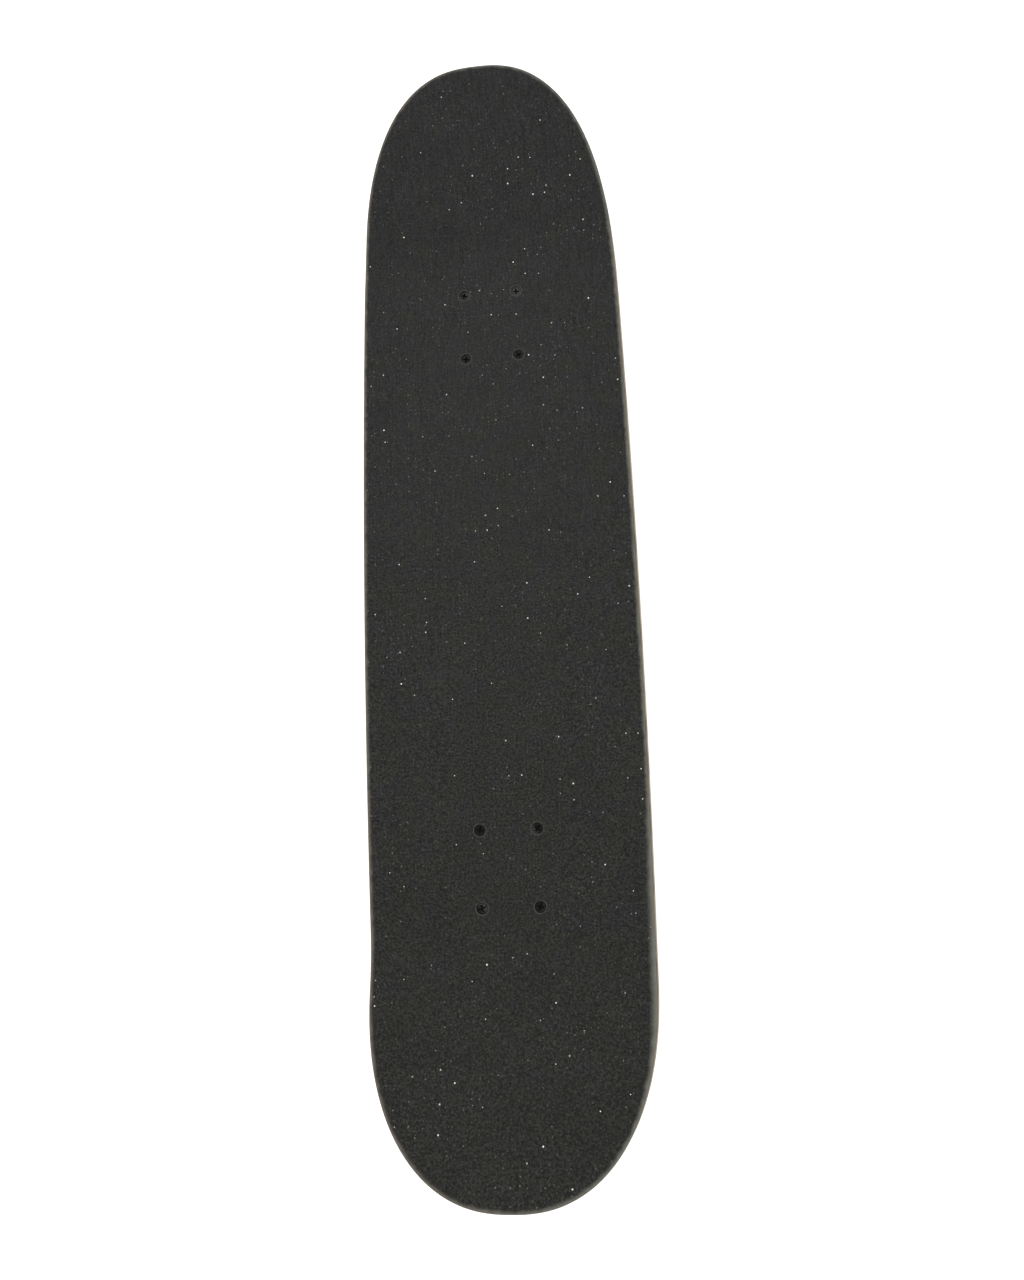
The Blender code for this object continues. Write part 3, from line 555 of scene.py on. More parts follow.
def cast_finish(name, colour, roughness, lump):
    """Tumbled casting: an uneven satin skin of lump millimetres, with clouds and pits."""
    finish = Finish(name, Metallic=1.0)
    skin = finish.clouds(lump, 4, 0.6)
    cloud = finish.clouds(11, 3)
    pits, _ = finish.cells(finish.scaled(1.3))
    pit = pits.fall(0.10, 0.22)
    shaded = finish.mix(cloud.rise(0.35, 0.70), colour, dimmed(colour, 0.80))
    shaded = finish.mix(pit * 0.35, shaded, dimmed(colour, 0.35))
    height = skin * (0.10 * MM) - pit * (0.05 * MM)
    return finish.done(shaded, roughness + skin * 0.16 + cloud * 0.08, height)


def wheel_finish():
    """Cast urethane: warm white, faint turning lines, dust on the tread and in the recess."""
    finish = Finish("wheel_urethane", Specular_IOR_Level=0.5, Coat_Roughness=0.25)
    radius = wheel_distance(finish)
    x, _, _ = finish.parts()
    lines = finish.noise(finish.joined(radius / (0.5 * MM), x / (0.6 * MM)), 2)
    cloud = finish.clouds(7, 4, 0.6)
    grit = finish.clouds(0.9, 3, 0.7)
    colour = finish.mix(cloud, (0.78, 0.755, 0.69), (0.70, 0.67, 0.60))
    tread = radius.rise(WHEEL_RADIUS - 1.6 * MM, WHEEL_RADIUS - 0.3 * MM)
    hollow = radius.fall(14.5 * MM, 19 * MM)
    dirt = tread * (0.16 + cloud * 0.30) * (0.45 + grit.rise(0.36, 0.66) * 0.40)
    dirt = dirt + hollow * cloud * 0.20
    colour = finish.mix(dirt, colour, (0.26, 0.24, 0.20))
    roughness = 0.36 + tread * 0.22 + grit * 0.08
    height = lines * (0.02 * MM) + grit * (tread * 0.05 + 0.01) * MM
    return finish.done(colour, roughness, height)


def soft_finish(name, colour, dark, roughness):
    """Moulded urethane, nylon or rubber: a smooth skin with faint clouds and specks."""
    finish = Finish(name, Specular_IOR_Level=0.5)
    cloud = finish.clouds(3.0, 3)
    speck = finish.clouds(0.5, 2).rise(0.62, 0.74)
    shaded = finish.mix(cloud, colour, dark)
    shaded = finish.mix(speck * 0.18, shaded, tuple(0.5 * part + 0.06 for part in dark))
    return finish.done(shaded, roughness + cloud * 0.12, cloud * (0.04 * MM) + speck * (0.01 * MM))


GRIP = grip_finish()
MAPLE = maple_finish()
BLACK_STEEL = black_steel_finish()
ZINC = bright_steel_finish("zinc_steel", (0.60, 0.61, 0.62), 0.30, False)
GROUND_STEEL = bright_steel_finish("ground_steel", (0.64, 0.64, 0.63), 0.20)
DARK_STEEL = bright_steel_finish("dark_steel", (0.16, 0.16, 0.17), 0.34, False)
PLATE_ALLOY = cast_finish("baseplate_alloy", (0.60, 0.61, 0.62), 0.40, 1.1)
HANGER_ALLOY = cast_finish("hanger_alloy", (0.68, 0.69, 0.70), 0.26, 2.0)
URETHANE = wheel_finish()
BUSHING = soft_finish("bushing_urethane", (0.36, 0.018, 0.014), (0.25, 0.012, 0.011), 0.28)
LINER = soft_finish("liner_urethane", (0.035, 0.035, 0.036), (0.02, 0.02, 0.021), 0.45)
NYLON = soft_finish("nylon_insert", (0.72, 0.72, 0.66), (0.60, 0.60, 0.54), 0.42)
SEAL = soft_finish("bearing_seal", (0.030, 0.030, 0.032), (0.018, 0.018, 0.019), 0.40)

# ---- Deck and grip sheet ----

EDGE_RADIUS = 2.5 * MM
CONCAVE_RISE = 10.5 * MM
FLAT_STRIP_HALF = 34.0 * MM
CONCAVE_HALF = 103.2 * MM
CONCAVE_FADE = 0.35  # share of the concave that is gone at the tips
FADE_REACH = 140.0 * MM
KICK_START = 245.0 * MM
KICK_RADIUS = 110.0 * MM
NOSE_ANGLE = math.radians(22.0)
TAIL_ANGLE = math.radians(20.5)
NOSE_CURVE_START = 280.0 * MM
NOSE_CURVE_POWER = 2.37
TAIL_CURVE_START = 230.0 * MM
TAIL_CURVE_POWER = 2.55
SIDE_BOW = 0.021
SIDE_BOW_REACH = 230.0 * MM
RIM_LEAN = 0.45  # the rim leans this share of the way from upright to square to the face
GRIP_WRAP = math.radians(40.0)  # how far the grip sheet follows the rounded edge
GRIP_GAP = 0.1 * MM
GRIP_THICKNESS = 0.8 * MM
GRIP_FILED = 0.35 * MM  # what the filing leaves of the sheet at the rim
GRIP_WHOLE = 7.2 * MM  # how far in from the rim the sheet is still whole
GRIP_HOLE = 4.15 * MM
HEAD_RADIUS = 4.4 * MM
HEAD_DEPTH = 2.7 * MM
BOLT_RADIUS = 2.4 * MM
BORE_SLACK = 0.3 * MM
NOSE_SHORT = 0.5 * MM  # how far the outline stays inside the solid's box at each end
TAIL_SHORT = 1.2 * MM
ACROSS = 73  # columns of the deck's grid
END_ROWS = 56
MIDDLE_ROWS = 150


def edge_reach(tilt):
    """How far the lower edge stands out past the upper one where the face has that tilt."""
    lean = math.atan(RIM_LEAN * math.tan(tilt))
    return (DECK_THICKNESS - EDGE_RADIUS) * math.tan(lean)


RAIL_TILT = math.atan(2 * CONCAVE_RISE / (CONCAVE_HALF - FLAT_STRIP_HALF))
TOP_HALF_WIDTH = DECK_HIGH.x - edge_reach(RAIL_TILT)
NOSE_REACH = BASE_MIDDLE - DECK_LOW.y - edge_reach(NOSE_ANGLE) - NOSE_SHORT
TAIL_REACH = DECK_HIGH.y - BASE_MIDDLE - edge_reach(TAIL_ANGLE) - TAIL_SHORT


def kick_height(y):
    """A kick's height: an arc of the kick radius up to the kick angle, then straight."""
    angle = np.where(y > 0, TAIL_ANGLE, NOSE_ANGLE)
    run = np.maximum(np.abs(y) - KICK_START, 0)
    bend = KICK_RADIUS * np.sin(angle)
    arc = KICK_RADIUS - np.sqrt(KICK_RADIUS**2 - np.minimum(run, bend) ** 2)
    return arc + np.maximum(run - bend, 0) * np.tan(angle)


def top_height(x, y):
    """Height over the flat middle: the kick, plus a concave that grows as the square
    of the distance past the flat strip and partly fades towards the tips."""
    side = np.maximum(np.abs(x) - FLAT_STRIP_HALF, 0) / (CONCAVE_HALF - FLAT_STRIP_HALF)
    fade = np.clip((np.abs(y) - KICK_START) / FADE_REACH, 0, 1)
    return kick_height(y) + CONCAVE_RISE * (1 - CONCAVE_FADE * fade) * side**2


def lifted(x, y, lift):
    """Points at a distance lift from the top face, along a line that leans with it."""
    step = 0.1 * MM
    slope_x = (top_height(x + step, y) - top_height(x - step, y)) / (2 * step)
    slope_y = (top_height(x, y + step) - top_height(x, y - step)) / (2 * step)
    steep = slope_x**2 + slope_y**2
    lean = np.stack([-slope_x * RIM_LEAN, -slope_y * RIM_LEAN, np.ones_like(x)], -1)
    lean *= (np.sqrt(1 + steep) / (1 + RIM_LEAN * steep))[..., None]
    base = np.stack([x, y + BASE_MIDDLE, DECK_TOP + top_height(x, y)], -1)
    return base + lean * lift


# Rows of the grid: -1 for the nose, 0 for the middle and 1 for the tail, how far out each
# end row lies, and where along the board each middle row lies
SHARE = np.linspace(0, 1, END_ROWS + 1)[1:]
ROW_SIDE = np.repeat([-1.0, 0.0, 1.0], (END_ROWS, MIDDLE_ROWS, END_ROWS))
ROW_SHARE = np.concatenate([SHARE[::-1], np.zeros(MIDDLE_ROWS), SHARE])
ROW_FLAT = np.zeros(len(ROW_SIDE))
ROW_FLAT[ROW_SIDE == 0] = np.linspace(-NOSE_CURVE_START, TAIL_CURVE_START, MIDDLE_ROWS)
COLUMN = np.linspace(-1, 1, ACROSS)


def plan(row, column, inset):
    """Place in plan of a row and column of the deck's grid, drawn in by inset.

    A middle row is straight. The end rows turn a square into a disc, stretch the disc
    into a superellipse, and place that past the start of the end's curve.
    """
    side, share, across = ROW_SIDE[row], ROW_SHARE[row], COLUMN[column]
    px = across * np.sqrt(1 - share**2 / 2)
    py = share * np.sqrt(1 - across**2 / 2)
    away = np.maximum(np.hypot(px, py), 1e-9)
    power = np.where(side < 0, NOSE_CURVE_POWER, TAIL_CURVE_POWER)
    round_sum = np.abs(px / away) ** power + np.abs(py / away) ** power
    square = np.maximum(round_sum, 1e-6) ** (-1 / power)
    grow = 1 + (square - 1) * away**2
    start = np.where(side < 0, NOSE_CURVE_START, TAIL_CURVE_START)
    reach = np.where(side < 0, NOSE_REACH, TAIL_REACH) - inset
    y = np.where(side == 0, ROW_FLAT[row], side * (start + (reach - start) * py * grow))
    half = TOP_HALF_WIDTH * (1 - SIDE_BOW * (y / SIDE_BOW_REACH) ** 2) - inset
    return px * grow * half, y


def slab(name, rings, holes):
    """A closed sheet over the deck's plan, with holes cut by the mesh holes.

    rings are (inset, lift) pairs from the rim of its top face, round its edge, to the
    rim of its lower face. It carries two attributes: rim, the distance in from the deck's
    outline, and depth, the distance below the deck's top face.
    """
    row, column = (part.ravel() for part in np.mgrid[0 : len(ROW_SIDE), 0:ACROSS])
    ids = np.arange(len(row)).reshape(-1, ACROSS)
    loop = np.concatenate([ids[0, :-1], ids[:-1, -1], ids[-1, :0:-1], ids[:0:-1, 0]])
    inward = (1 - np.maximum(np.abs(COLUMN[column]), ROW_SHARE[row])) * TOP_HALF_WIDTH
    spots, rim, depth, bands, faces = [], [], [], [], []
    for inset, lift in rings:
        whole = (inset, lift) in (rings[0], rings[-1])
        used = ids.ravel() if whole else loop
        first = sum(map(len, spots))
        bands.append(first + (loop if whole else np.arange(len(loop))))
        spots.append(lifted(*plan(row[used], column[used], inset), lift))
        rim.append(inset + inward[used])
        depth.append(np.full(len(used), -lift))
        if whole:
            faces.append(quads(ids + first, wrap_columns=False))
    faces.append(quads(np.array(bands)))
    mesh = closed_mesh(name, np.concatenate(spots), np.concatenate(faces))
    for label, values in (("rim", rim), ("depth", depth)):
        made = mesh.attributes.new(label, "FLOAT", "POINT")
        made.data.foreach_set("value", np.concatenate(values).astype(np.float32))
    return cut(mesh, holes)


def cut(mesh, cutter):
    """The mesh with the cutter taken out; round the bolts its attributes are set again."""
    target, tool = linked("target", mesh), linked("cutter", cutter)
    step = target.modifiers.new("Cut", "BOOLEAN")
    step.operation = "DIFFERENCE"
    step.object = tool
    bpy.context.view_layer.update()
    graph = bpy.context.evaluated_depsgraph_get()
    made = bpy.data.meshes.new_from_object(target.evaluated_get(graph))
    made.name = mesh.name
    for used in (target, tool):
        bpy.data.objects.remove(used, do_unlink=True)
    place = np.zeros(len(made.vertices) * 3, np.float32)
    made.vertices.foreach_get("co", place)
    x, y, z = place.reshape(-1, 3).T
    away_y = np.abs(np.abs(y - BASE_MIDDLE) - TRUCK_OFFSET) - BOLT_Y
    near = np.hypot(np.abs(x) - BOLT_X, away_y) < 2 * HEAD_RADIUS
    for label, inside in (("rim", np.full(len(x), 0.05)), ("depth", DECK_TOP - z)):
        values = np.zeros(len(x), np.float32)
        made.attributes[label].data.foreach_get("value", values)
        values[near] = inside[near]
        made.attributes[label].data.foreach_set("value", values)
    made.set_sharp_from_angle(angle=math.radians(40))
    return made


def bolt_spots():
    """Name and axis of each of the eight deck bolts."""
    for truck, _ in TRUCKS:
        for row in ("inner", "outer"):
            for hand, _ in HANDS:
                tag = f"{truck}_{row}_{hand}"
                middle = centre(f"bolt_{tag}")
                yield tag, middle.x, middle.y


def hole_cutter(name, radii, heights):
    """Eight plugs, one on each bolt, each turned from radii and heights."""
    points, faces = revolved([0, *radii, 0], [heights[0], *heights, heights[-1]], columns=48)
    spots = [(x, y) for _, x, y in bolt_spots()]
    moved = [points + np.array((x, y, 0)) for x, y in spots]
    numbered = [faces + len(points) * i for i in range(len(spots))]
    return closed_mesh(name, np.concatenate(moved), np.concatenate(numbered))


def add_deck():
    """Seven-ply deck with rounded rims, bolt holes and countersinks."""
    turn = np.linspace(0, math.pi / 2, 6)
    insets = EDGE_RADIUS * (1 - np.sin(turn))
    drops = EDGE_RADIUS * (1 - np.cos(turn))
    depths = np.linspace(EDGE_RADIUS, DECK_THICKNESS - EDGE_RADIUS, 8)[1:-1]
    rings = list(zip(insets, -drops)) + [(0, -depth) for depth in depths]
    rings += list(zip(insets[::-1], drops[::-1] - DECK_THICKNESS))
    slope = (HEAD_RADIUS - BOLT_RADIUS) / HEAD_DEPTH
    hole = BOLT_RADIUS + BORE_SLACK
    sink_low = DECK_TOP - HEAD_DEPTH - BORE_SLACK
    past = 4 * MM
    top = DECK_TOP + past
    wide = hole + (top - sink_low) * slope
    low = DECK_TOP - DECK_THICKNESS - past
    holes = hole_cutter("bolt_holes", [hole, hole, wide], [low, sink_low, top])
    mesh = slab("pressed_deck", rings, holes)
    piece("pressed_deck", mesh, MAPLE, "maple", "board", "deck")


def add_grip():
    """Grip sheet pressed over the rounded edge, filed off there, with its bolt holes."""
    top = GRIP_GAP + GRIP_THICKNESS
    thin = GRIP_GAP + GRIP_FILED
    inner = 9.0 * MM
    rings = [(inner, top), (GRIP_WHOLE, top)]
    insets = np.array((5.8, 4.8, 4.0, 3.2)) * MM
    lifts = thin + (top - thin) * smooth_step(insets, EDGE_RADIUS, GRIP_WHOLE)
    rings += list(zip(insets, lifts))
    turn = np.linspace(0, GRIP_WRAP, 7)
    for radius, bend in ((EDGE_RADIUS + thin, turn), (EDGE_RADIUS + GRIP_GAP, turn[::-1] * 1.15)):
        inset = EDGE_RADIUS - radius * np.sin(bend)
        rings += list(zip(inset, radius * np.cos(bend) - EDGE_RADIUS))
    rings.append((inner, GRIP_GAP))
    low = DECK_TOP - 2 * MM
    high = DECK_TOP + 3 * MM
    holes = hole_cutter("grip_holes", [GRIP_HOLE, GRIP_HOLE], [low, high])
    mesh = slab("grip_sheet", rings, holes)
    piece("grip_sheet", mesh, GRIP, "grip_sheet", "board", "grip_tape")


add_deck()
add_grip()

# ---- Threads, bolts and nuts ----


def thread(radius, pitch, cut_depth, low, high, columns):
    """Rows of a screw thread from low to high: the radius is a triangle wave of height
    over pitch plus the turn, so its crest climbs one pitch each time round."""
    height = np.linspace(low, high, max(int(abs(high - low) / pitch * 7), 3))[:, None]
    turn = np.linspace(0, 1, columns, endpoint=False)[None]
    wave = np.abs(((height / pitch + turn) % 1) * 2 - 1)
    run_out = smooth_step(np.abs(height - low), 0, pitch)
    return radius - cut_depth * wave * run_out, np.broadcast_to(height, wave.shape)


def level(radii, heights, columns):
    """Plain rows as wide as columns, to stack with thread rows."""
    wide = np.ones((1, columns))
    return np.array(radii, float)[:, None] * wide, np.array(heights, float)[:, None] * wide


def stacked(*parts):
    """Parts of a turned shape, one after the other."""
    return np.vstack([part[0] for part in parts]), np.vstack([part[1] for part in parts])


def bolt_shape(turn):
    """A flat-head bolt with a cross in its head; its axis runs down from the head's top.

    The head's face is a height field: it sinks where a point is inside either arm of the
    cross, with sloping walls and a floor that deepens to the middle.
    """
    columns = 96
    shank = 14 * MM
    arm_half = 2.45 * MM
    arm_width = 0.62 * MM
    radius = np.linspace(0, HEAD_RADIUS - 0.25 * MM, 30)[:, None]
    angle = np.linspace(0, 2 * math.pi, columns, endpoint=False)[None]
    x = radius * np.cos(angle + turn)
    y = radius * np.sin(angle + turn)
    far = np.maximum(np.abs(x), np.abs(y))
    near = np.minimum(np.abs(x), np.abs(y))
    inside = np.minimum(arm_half - far, arm_width - near)
    floor = 1.1 * MM + 0.7 * MM * smooth_step(arm_half - far, 0, arm_half)
    sunk = floor * smooth_step(inside, -0.05 * MM, 0.35 * MM)
    face = (np.broadcast_to(radius, x.shape), sunk)
    rim = level(
        (HEAD_RADIUS - 0.08 * MM, HEAD_RADIUS, HEAD_RADIUS, BOLT_RADIUS, BOLT_RADIUS),
        (0.06 * MM, 0.22 * MM, 0.45 * MM, HEAD_DEPTH, shank),
        columns,
    )
    length = DECK_TOP - BOLT_TIP
    screw = thread(BOLT_RADIUS, 0.8 * MM, 0.32 * MM, shank, length - 0.5 * MM, columns)
    tip = level((BOLT_RADIUS - 0.5 * MM, 0), (length, length), columns)
    return stacked(face, rim, screw, tip)


def hexagon(flats, columns):
    """Radius round a hexagon: half its flats over the cosine of the angle from a flat."""
    angle = np.linspace(0, 2 * math.pi, columns, endpoint=False)[None]
    sixth = math.pi / 3
    return flats / 2 / np.cos((angle + sixth / 2) % sixth - sixth / 2)


def lock_nut_shape(flats, bore, hex_height, height):
    """A hexagon nut with a rolled collar over its nylon ring; height runs to the collar.

    The corners are cut by a cone, so each chamfer falls with the radius over the flats.
    """
    columns = 96
    corner = hexagon(flats, columns)
    inner = flats / 2 * 0.96
    fall = (corner - inner) * math.tan(math.radians(30))
    collar = flats / 2 * 0.90
    open_radius = bore + 0.55 * (collar - bore)
    lip = 0.22 * (height - hex_height)
    return stacked(
        level((bore, bore + 0.3 * MM, inner), (0.3 * MM, 0, 0), columns),
        (corner, fall),
        (corner, hex_height - fall),
        level(
            (inner, collar, collar, collar - lip, collar - 2.5 * lip, open_radius),
            (hex_height, hex_height + lip, height - 2 * lip, height - 0.4 * lip, height, height),
            columns,
        ),
        level(
            (open_radius, bore + 0.1 * MM, bore),
            (height - 1.6 * lip, height - 1.8 * lip, hex_height * 0.8),
            columns,
        ),
    )


def nylon_shape(flats, bore, hex_height, height):
    """The nylon ring inside a lock nut's collar."""
    collar = flats / 2 * 0.90
    outer = bore + 0.55 * (collar - bore) + 0.05 * MM
    inner = bore - 0.22 * MM
    lip = 0.22 * (height - hex_height)
    high = height - 0.9 * lip
    low = height - 1.7 * lip
    return rounded([(outer, low), (outer, high), (inner, high), (inner, low)], 0.12 * MM, True).T


def turned(name, shape, axis, columns=64, side=None, sharp=40.0, closed=True):
    """A mesh turned round an axis, placed on a truck when side is given.

    It is a closed ring, or with closed False a solid that starts and ends on the axis.
    """
    points, faces = revolved(*shape, *axis, closed, columns)
    if side is not None:
        points = on_truck(points, side)
    return closed_mesh(name, points, faces, sharp)


def add_turned(name, shape, axis, finish, slot, body, *nodes, **options):
    """A turned piece; axis is its origin and direction."""
    piece(name, turned(name, shape, axis, **options), finish, slot, body, *nodes)


def add_lock_nut(name, nylon, size, axis, body, node, side=None):
    """A lock nut and the nylon ring in its collar."""
    shape = lock_nut_shape(*size)
    add_turned(name, shape, axis, ZINC, "steel_nuts", body, node, side=side, sharp=25)
    shape = nylon_shape(*size)
    add_turned(nylon, shape, axis, NYLON, "steel_nuts", body, columns=48, side=side)


def add_deck_fasteners():
    """The eight bolts with their lock nuts, each driven to a different turn."""
    nut_low, nut_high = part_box("deck_nut_front_inner_left")
    size = (9.5 * MM, BOLT_RADIUS + 0.15 * MM, 4.0 * MM, nut_high.z - nut_low.z)
    down = (0, 0, -1)
    turns = np.random.default_rng(7).uniform(0, math.pi / 2, 8)
    for (tag, x, y), turn in zip(bolt_spots(), turns):
        name, node = f"flat_head_bolt_{tag}", f"bolt_{tag}"
        shape, axis = bolt_shape(turn), ((x, y, DECK_TOP), down)
        options = {"sharp": 50, "closed": False}
        add_turned(name, shape, axis, BLACK_STEEL, "black_bolts", "board", node, **options)
        names = (f"deck_lock_nut_{tag}", f"deck_nut_nylon_{tag}")
        add_lock_nut(*names, size, ((x, y, nut_high.z), down), "board", f"deck_nut_{tag}")


add_deck_fasteners()

# ---- Truck castings, as distance fields ----

KINGPIN_TILT = math.radians(24.0)
DOWN = np.array((0, -math.sin(KINGPIN_TILT), -math.cos(KINGPIN_TILT)))
HEAD_SEAT = np.array((0, -5.0, -9.0)) * MM
RING_AT = 27.5 * MM
RING_THICKNESS = 5.0 * MM
RING_CENTRE = HEAD_SEAT + DOWN * (RING_AT + RING_THICKNESS / 2)
PIVOT = np.array((0, BOLT_Y / MM + 2.0, -14.5)) * MM
STEER = (PIVOT - RING_CENTRE) / np.linalg.norm(PIVOT - RING_CENTRE)
AXLE = np.array((0, 0, WHEEL_CENTRE.z - PLATE_TOP))
KINGPIN_RADIUS = 4.75 * MM
RING_RADIUS = 13.0 * MM
RING_HOLE = 7.0 * MM
PIVOT_TIP = 6.0 * MM
CUP_RADIUS = 8.5 * MM
STEM_ROOT = PIVOT - STEER * 16 * MM
STEM_RADIUS = 8.3 * MM
ARM_FOOT = AXLE + (STEM_ROOT - AXLE) * 0.38
HANGER_HALF = 68.5 * MM
YOKE_HALF = 42.0 * MM
AXLE_RADIUS = 4.0 * MM
PLATE_HALF_LENGTH = 39 * MM
PLATE_THICKNESS = 6.5 * MM
THROUGH = 40 * MM  # reach of a bore that runs out of its casting


class Space:
    """The points of a box of cubes, on which castings are worked out as distances."""

    def __init__(self, low, high, step):
        self.low = np.array(low) * MM
        self.step = step * MM
        counts = np.ceil((np.array(high) - np.array(low)) / step).astype(int) + 1
        lines = [self.low[i] + self.step * np.arange(counts[i]) for i in range(3)]
        self.x, self.y, self.z = np.meshgrid(*lines, indexing="ij")

    def from_axis(self, origin, direction):
        """Distance along an axis and distance out from it."""
        off = [self.x - origin[0], self.y - origin[1], self.z - origin[2]]
        along = sum(part * d for part, d in zip(off, direction))
        out = np.sqrt(np.maximum(sum(part**2 for part in off) - along**2, 0))
        return along, out

    def drum(self, origin, direction, low, high, radius, edge=0.0):
        """A cylinder between low and high along its axis, with its rims rounded by edge."""
        along, out = self.from_axis(origin, direction)
        past = np.abs(along - (low + high) / 2) - (high - low) / 2 + edge
        beyond = out - radius + edge
        corner = np.hypot(np.maximum(past, 0), np.maximum(beyond, 0))
        return np.minimum(np.maximum(past, beyond), 0) + corner - edge

    def limb(self, start, end, start_radius, end_radius):
        """A rod with round ends that tapers from one radius to the other."""
        span = end - start
        off = [self.x - start[0], self.y - start[1], self.z - start[2]]
        share = sum(part * d for part, d in zip(off, span)) / span.dot(span)
        share = np.clip(share, 0, 1)
        gap = np.sqrt(sum((part - share * d) ** 2 for part, d in zip(off, span)))
        return gap - (start_radius + (end_radius - start_radius) * share)

    def block(self, middle, half, turn, edge):
        """A box round middle, its half sizes along the three turn axes, its edges rounded."""
        off = [self.x - middle[0], self.y - middle[1], self.z - middle[2]]
        past = [
            np.abs(sum(part * d for part, d in zip(off, axis))) - size + edge
            for axis, size in zip(turn, half)
        ]
        outside = np.sqrt(sum(np.maximum(part, 0) ** 2 for part in past))
        return np.minimum(np.maximum.reduce(past), 0) + outside - edge

    def bored(self, field, drums):
        """The field less cylinders, each given as drum takes it."""
        for drum in drums:
            field = np.maximum(field, -self.drum(*drum))
        return field

    def skin(self, field):
        """Points and faces where the field is zero.

        Each cube that the surface crosses gets one point, the mean of the crossings on
        its twelve edges, and each crossed edge gets a face between its four cubes.
        """
        cubes = tuple(size - 1 for size in field.shape)
        total = np.zeros((*cubes, 3))
        count = np.zeros(cubes)
        faces = []
        number = np.full(cubes, -1)
        crossings = []
        for axis in range(3):
            first = np.moveaxis(field, axis, 0)[:-1]
            second = np.moveaxis(field, axis, 0)[1:]
            crossed = (first < 0) != (second < 0)
            share = np.where(crossed, first / np.where(crossed, first - second, 1), 0)
            crossings.append(crossed)
            one, two = (other for other in range(3) if other != axis)
            for a, b in ((0, 0), (0, 1), (1, 0), (1, 1)):
                window = (slice(None), slice(a, a + cubes[one]), slice(b, b + cubes[two]))
                hit = np.moveaxis(crossed[window], 0, axis)
                count += hit
                total[..., axis] += np.moveaxis(share[window], 0, axis)
                total[..., one] += hit * a
                total[..., two] += hit * b
        used = count > 0
        number[used] = np.arange(used.sum())
        corner = np.stack(np.nonzero(used), -1)
        points = self.low + self.step * (corner + total[used] / count[used][:, None])
        for axis, crossed in enumerate(crossings):
            edge, first, second = np.nonzero(crossed[:, 1:-1, 1:-1])
            first += 1
            second += 1
            ring = []
            for a, b in ((0, 0), (1, 0), (1, 1), (0, 1)):
                spot = [first - a, second - b]
                spot.insert(axis, edge)
                ring.append(number[tuple(spot)])
            faces.append(np.stack(ring, -1))
        return points, np.concatenate(faces)


def blended(first, second, reach):
    """The union of two fields with a fillet of about reach where they meet."""
    share = np.clip(0.5 + 0.5 * (second - first) / reach, 0, 1)
    return second + (first - second) * share - reach * share * (1 - share)


def baseplate_skin():
    """A bolted plate with a boss round the kingpin's head, a boss round the pivot liner
    and ribs between them, all run together with fillets, less its bores."""
    low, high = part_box("baseplate_rear")
    half_x = (high.x - low.x) / 2 / MM
    space = Space((-half_x - 2, -41.5, -28), (half_x + 2, 44, 1.6), 0.6)
    corner, edge, half_thick = 8 * MM, 1.2 * MM, PLATE_THICKNESS / 2
    past_x = np.abs(space.x) - (half_x * MM - corner)
    past_y = np.abs(space.y) - (PLATE_HALF_LENGTH - corner)
    outline = np.hypot(np.maximum(past_x, 0), np.maximum(past_y, 0)) - corner
    outline += np.minimum(np.maximum(past_x, past_y), 0)
    rise = np.abs(space.z + half_thick) - half_thick + edge
    plate = np.minimum(np.maximum(outline + edge, rise), 0) - edge
    plate += np.hypot(np.maximum(outline + edge, 0), np.maximum(rise, 0))
    boss = space.drum(HEAD_SEAT, DOWN, -6 * MM, 10 * MM, 13 * MM, 1.0 * MM)
    pivot = space.drum(PIVOT, STEER, -7 * MM, 11.7 * MM, 11.5 * MM, 1.4 * MM)
    spine = (3.2 * MM, 13 * MM, 3.4 * MM)
    ribs = [space.block(np.array((0, 10, -6.5)) * MM, spine, np.eye(3), 1 * MM)]
    for hand in (-1, 1):
        for start, end, radius in (
            ((9.0, 26.0, -6.0), (22.0, 4.0, -5.2), 3.0 * MM),
            ((10.0, -9.0, -6.4), (23.0, -9.0, -5.2), 3.2 * MM),
        ):
            mirror = np.array((hand, 1, 1)) * MM
            ribs.append(space.limb(start * mirror, end * mirror, radius, 2.2 * MM))
    field = blended(plate, boss, 3.2 * MM)
    field = blended(field, pivot, 3.2 * MM)
    for rib in ribs:
        field = blended(field, rib, 2.6 * MM)
    bores = [
        (HEAD_SEAT, DOWN, -THROUGH, 0, 8.56 * MM),
        (HEAD_SEAT, DOWN, -12 * MM, THROUGH, KINGPIN_RADIUS + BORE_SLACK),
        (PIVOT, STEER, -THROUGH, 9.0 * MM, CUP_RADIUS + BORE_SLACK),
    ]
    up = (0, 0, 1)
    for x in (-BOLT_X, BOLT_X):
        for y in (-BOLT_Y, BOLT_Y):
            bores.append(((x, y, 0), up, -THROUGH, THROUGH, BOLT_RADIUS + BORE_SLACK))
            bores.append(((x, y, -PLATE_THICKNESS), up, -30 * MM, 0, 6.6 * MM))
    return space.skin(space.bored(np.maximum(field, space.z), bores))


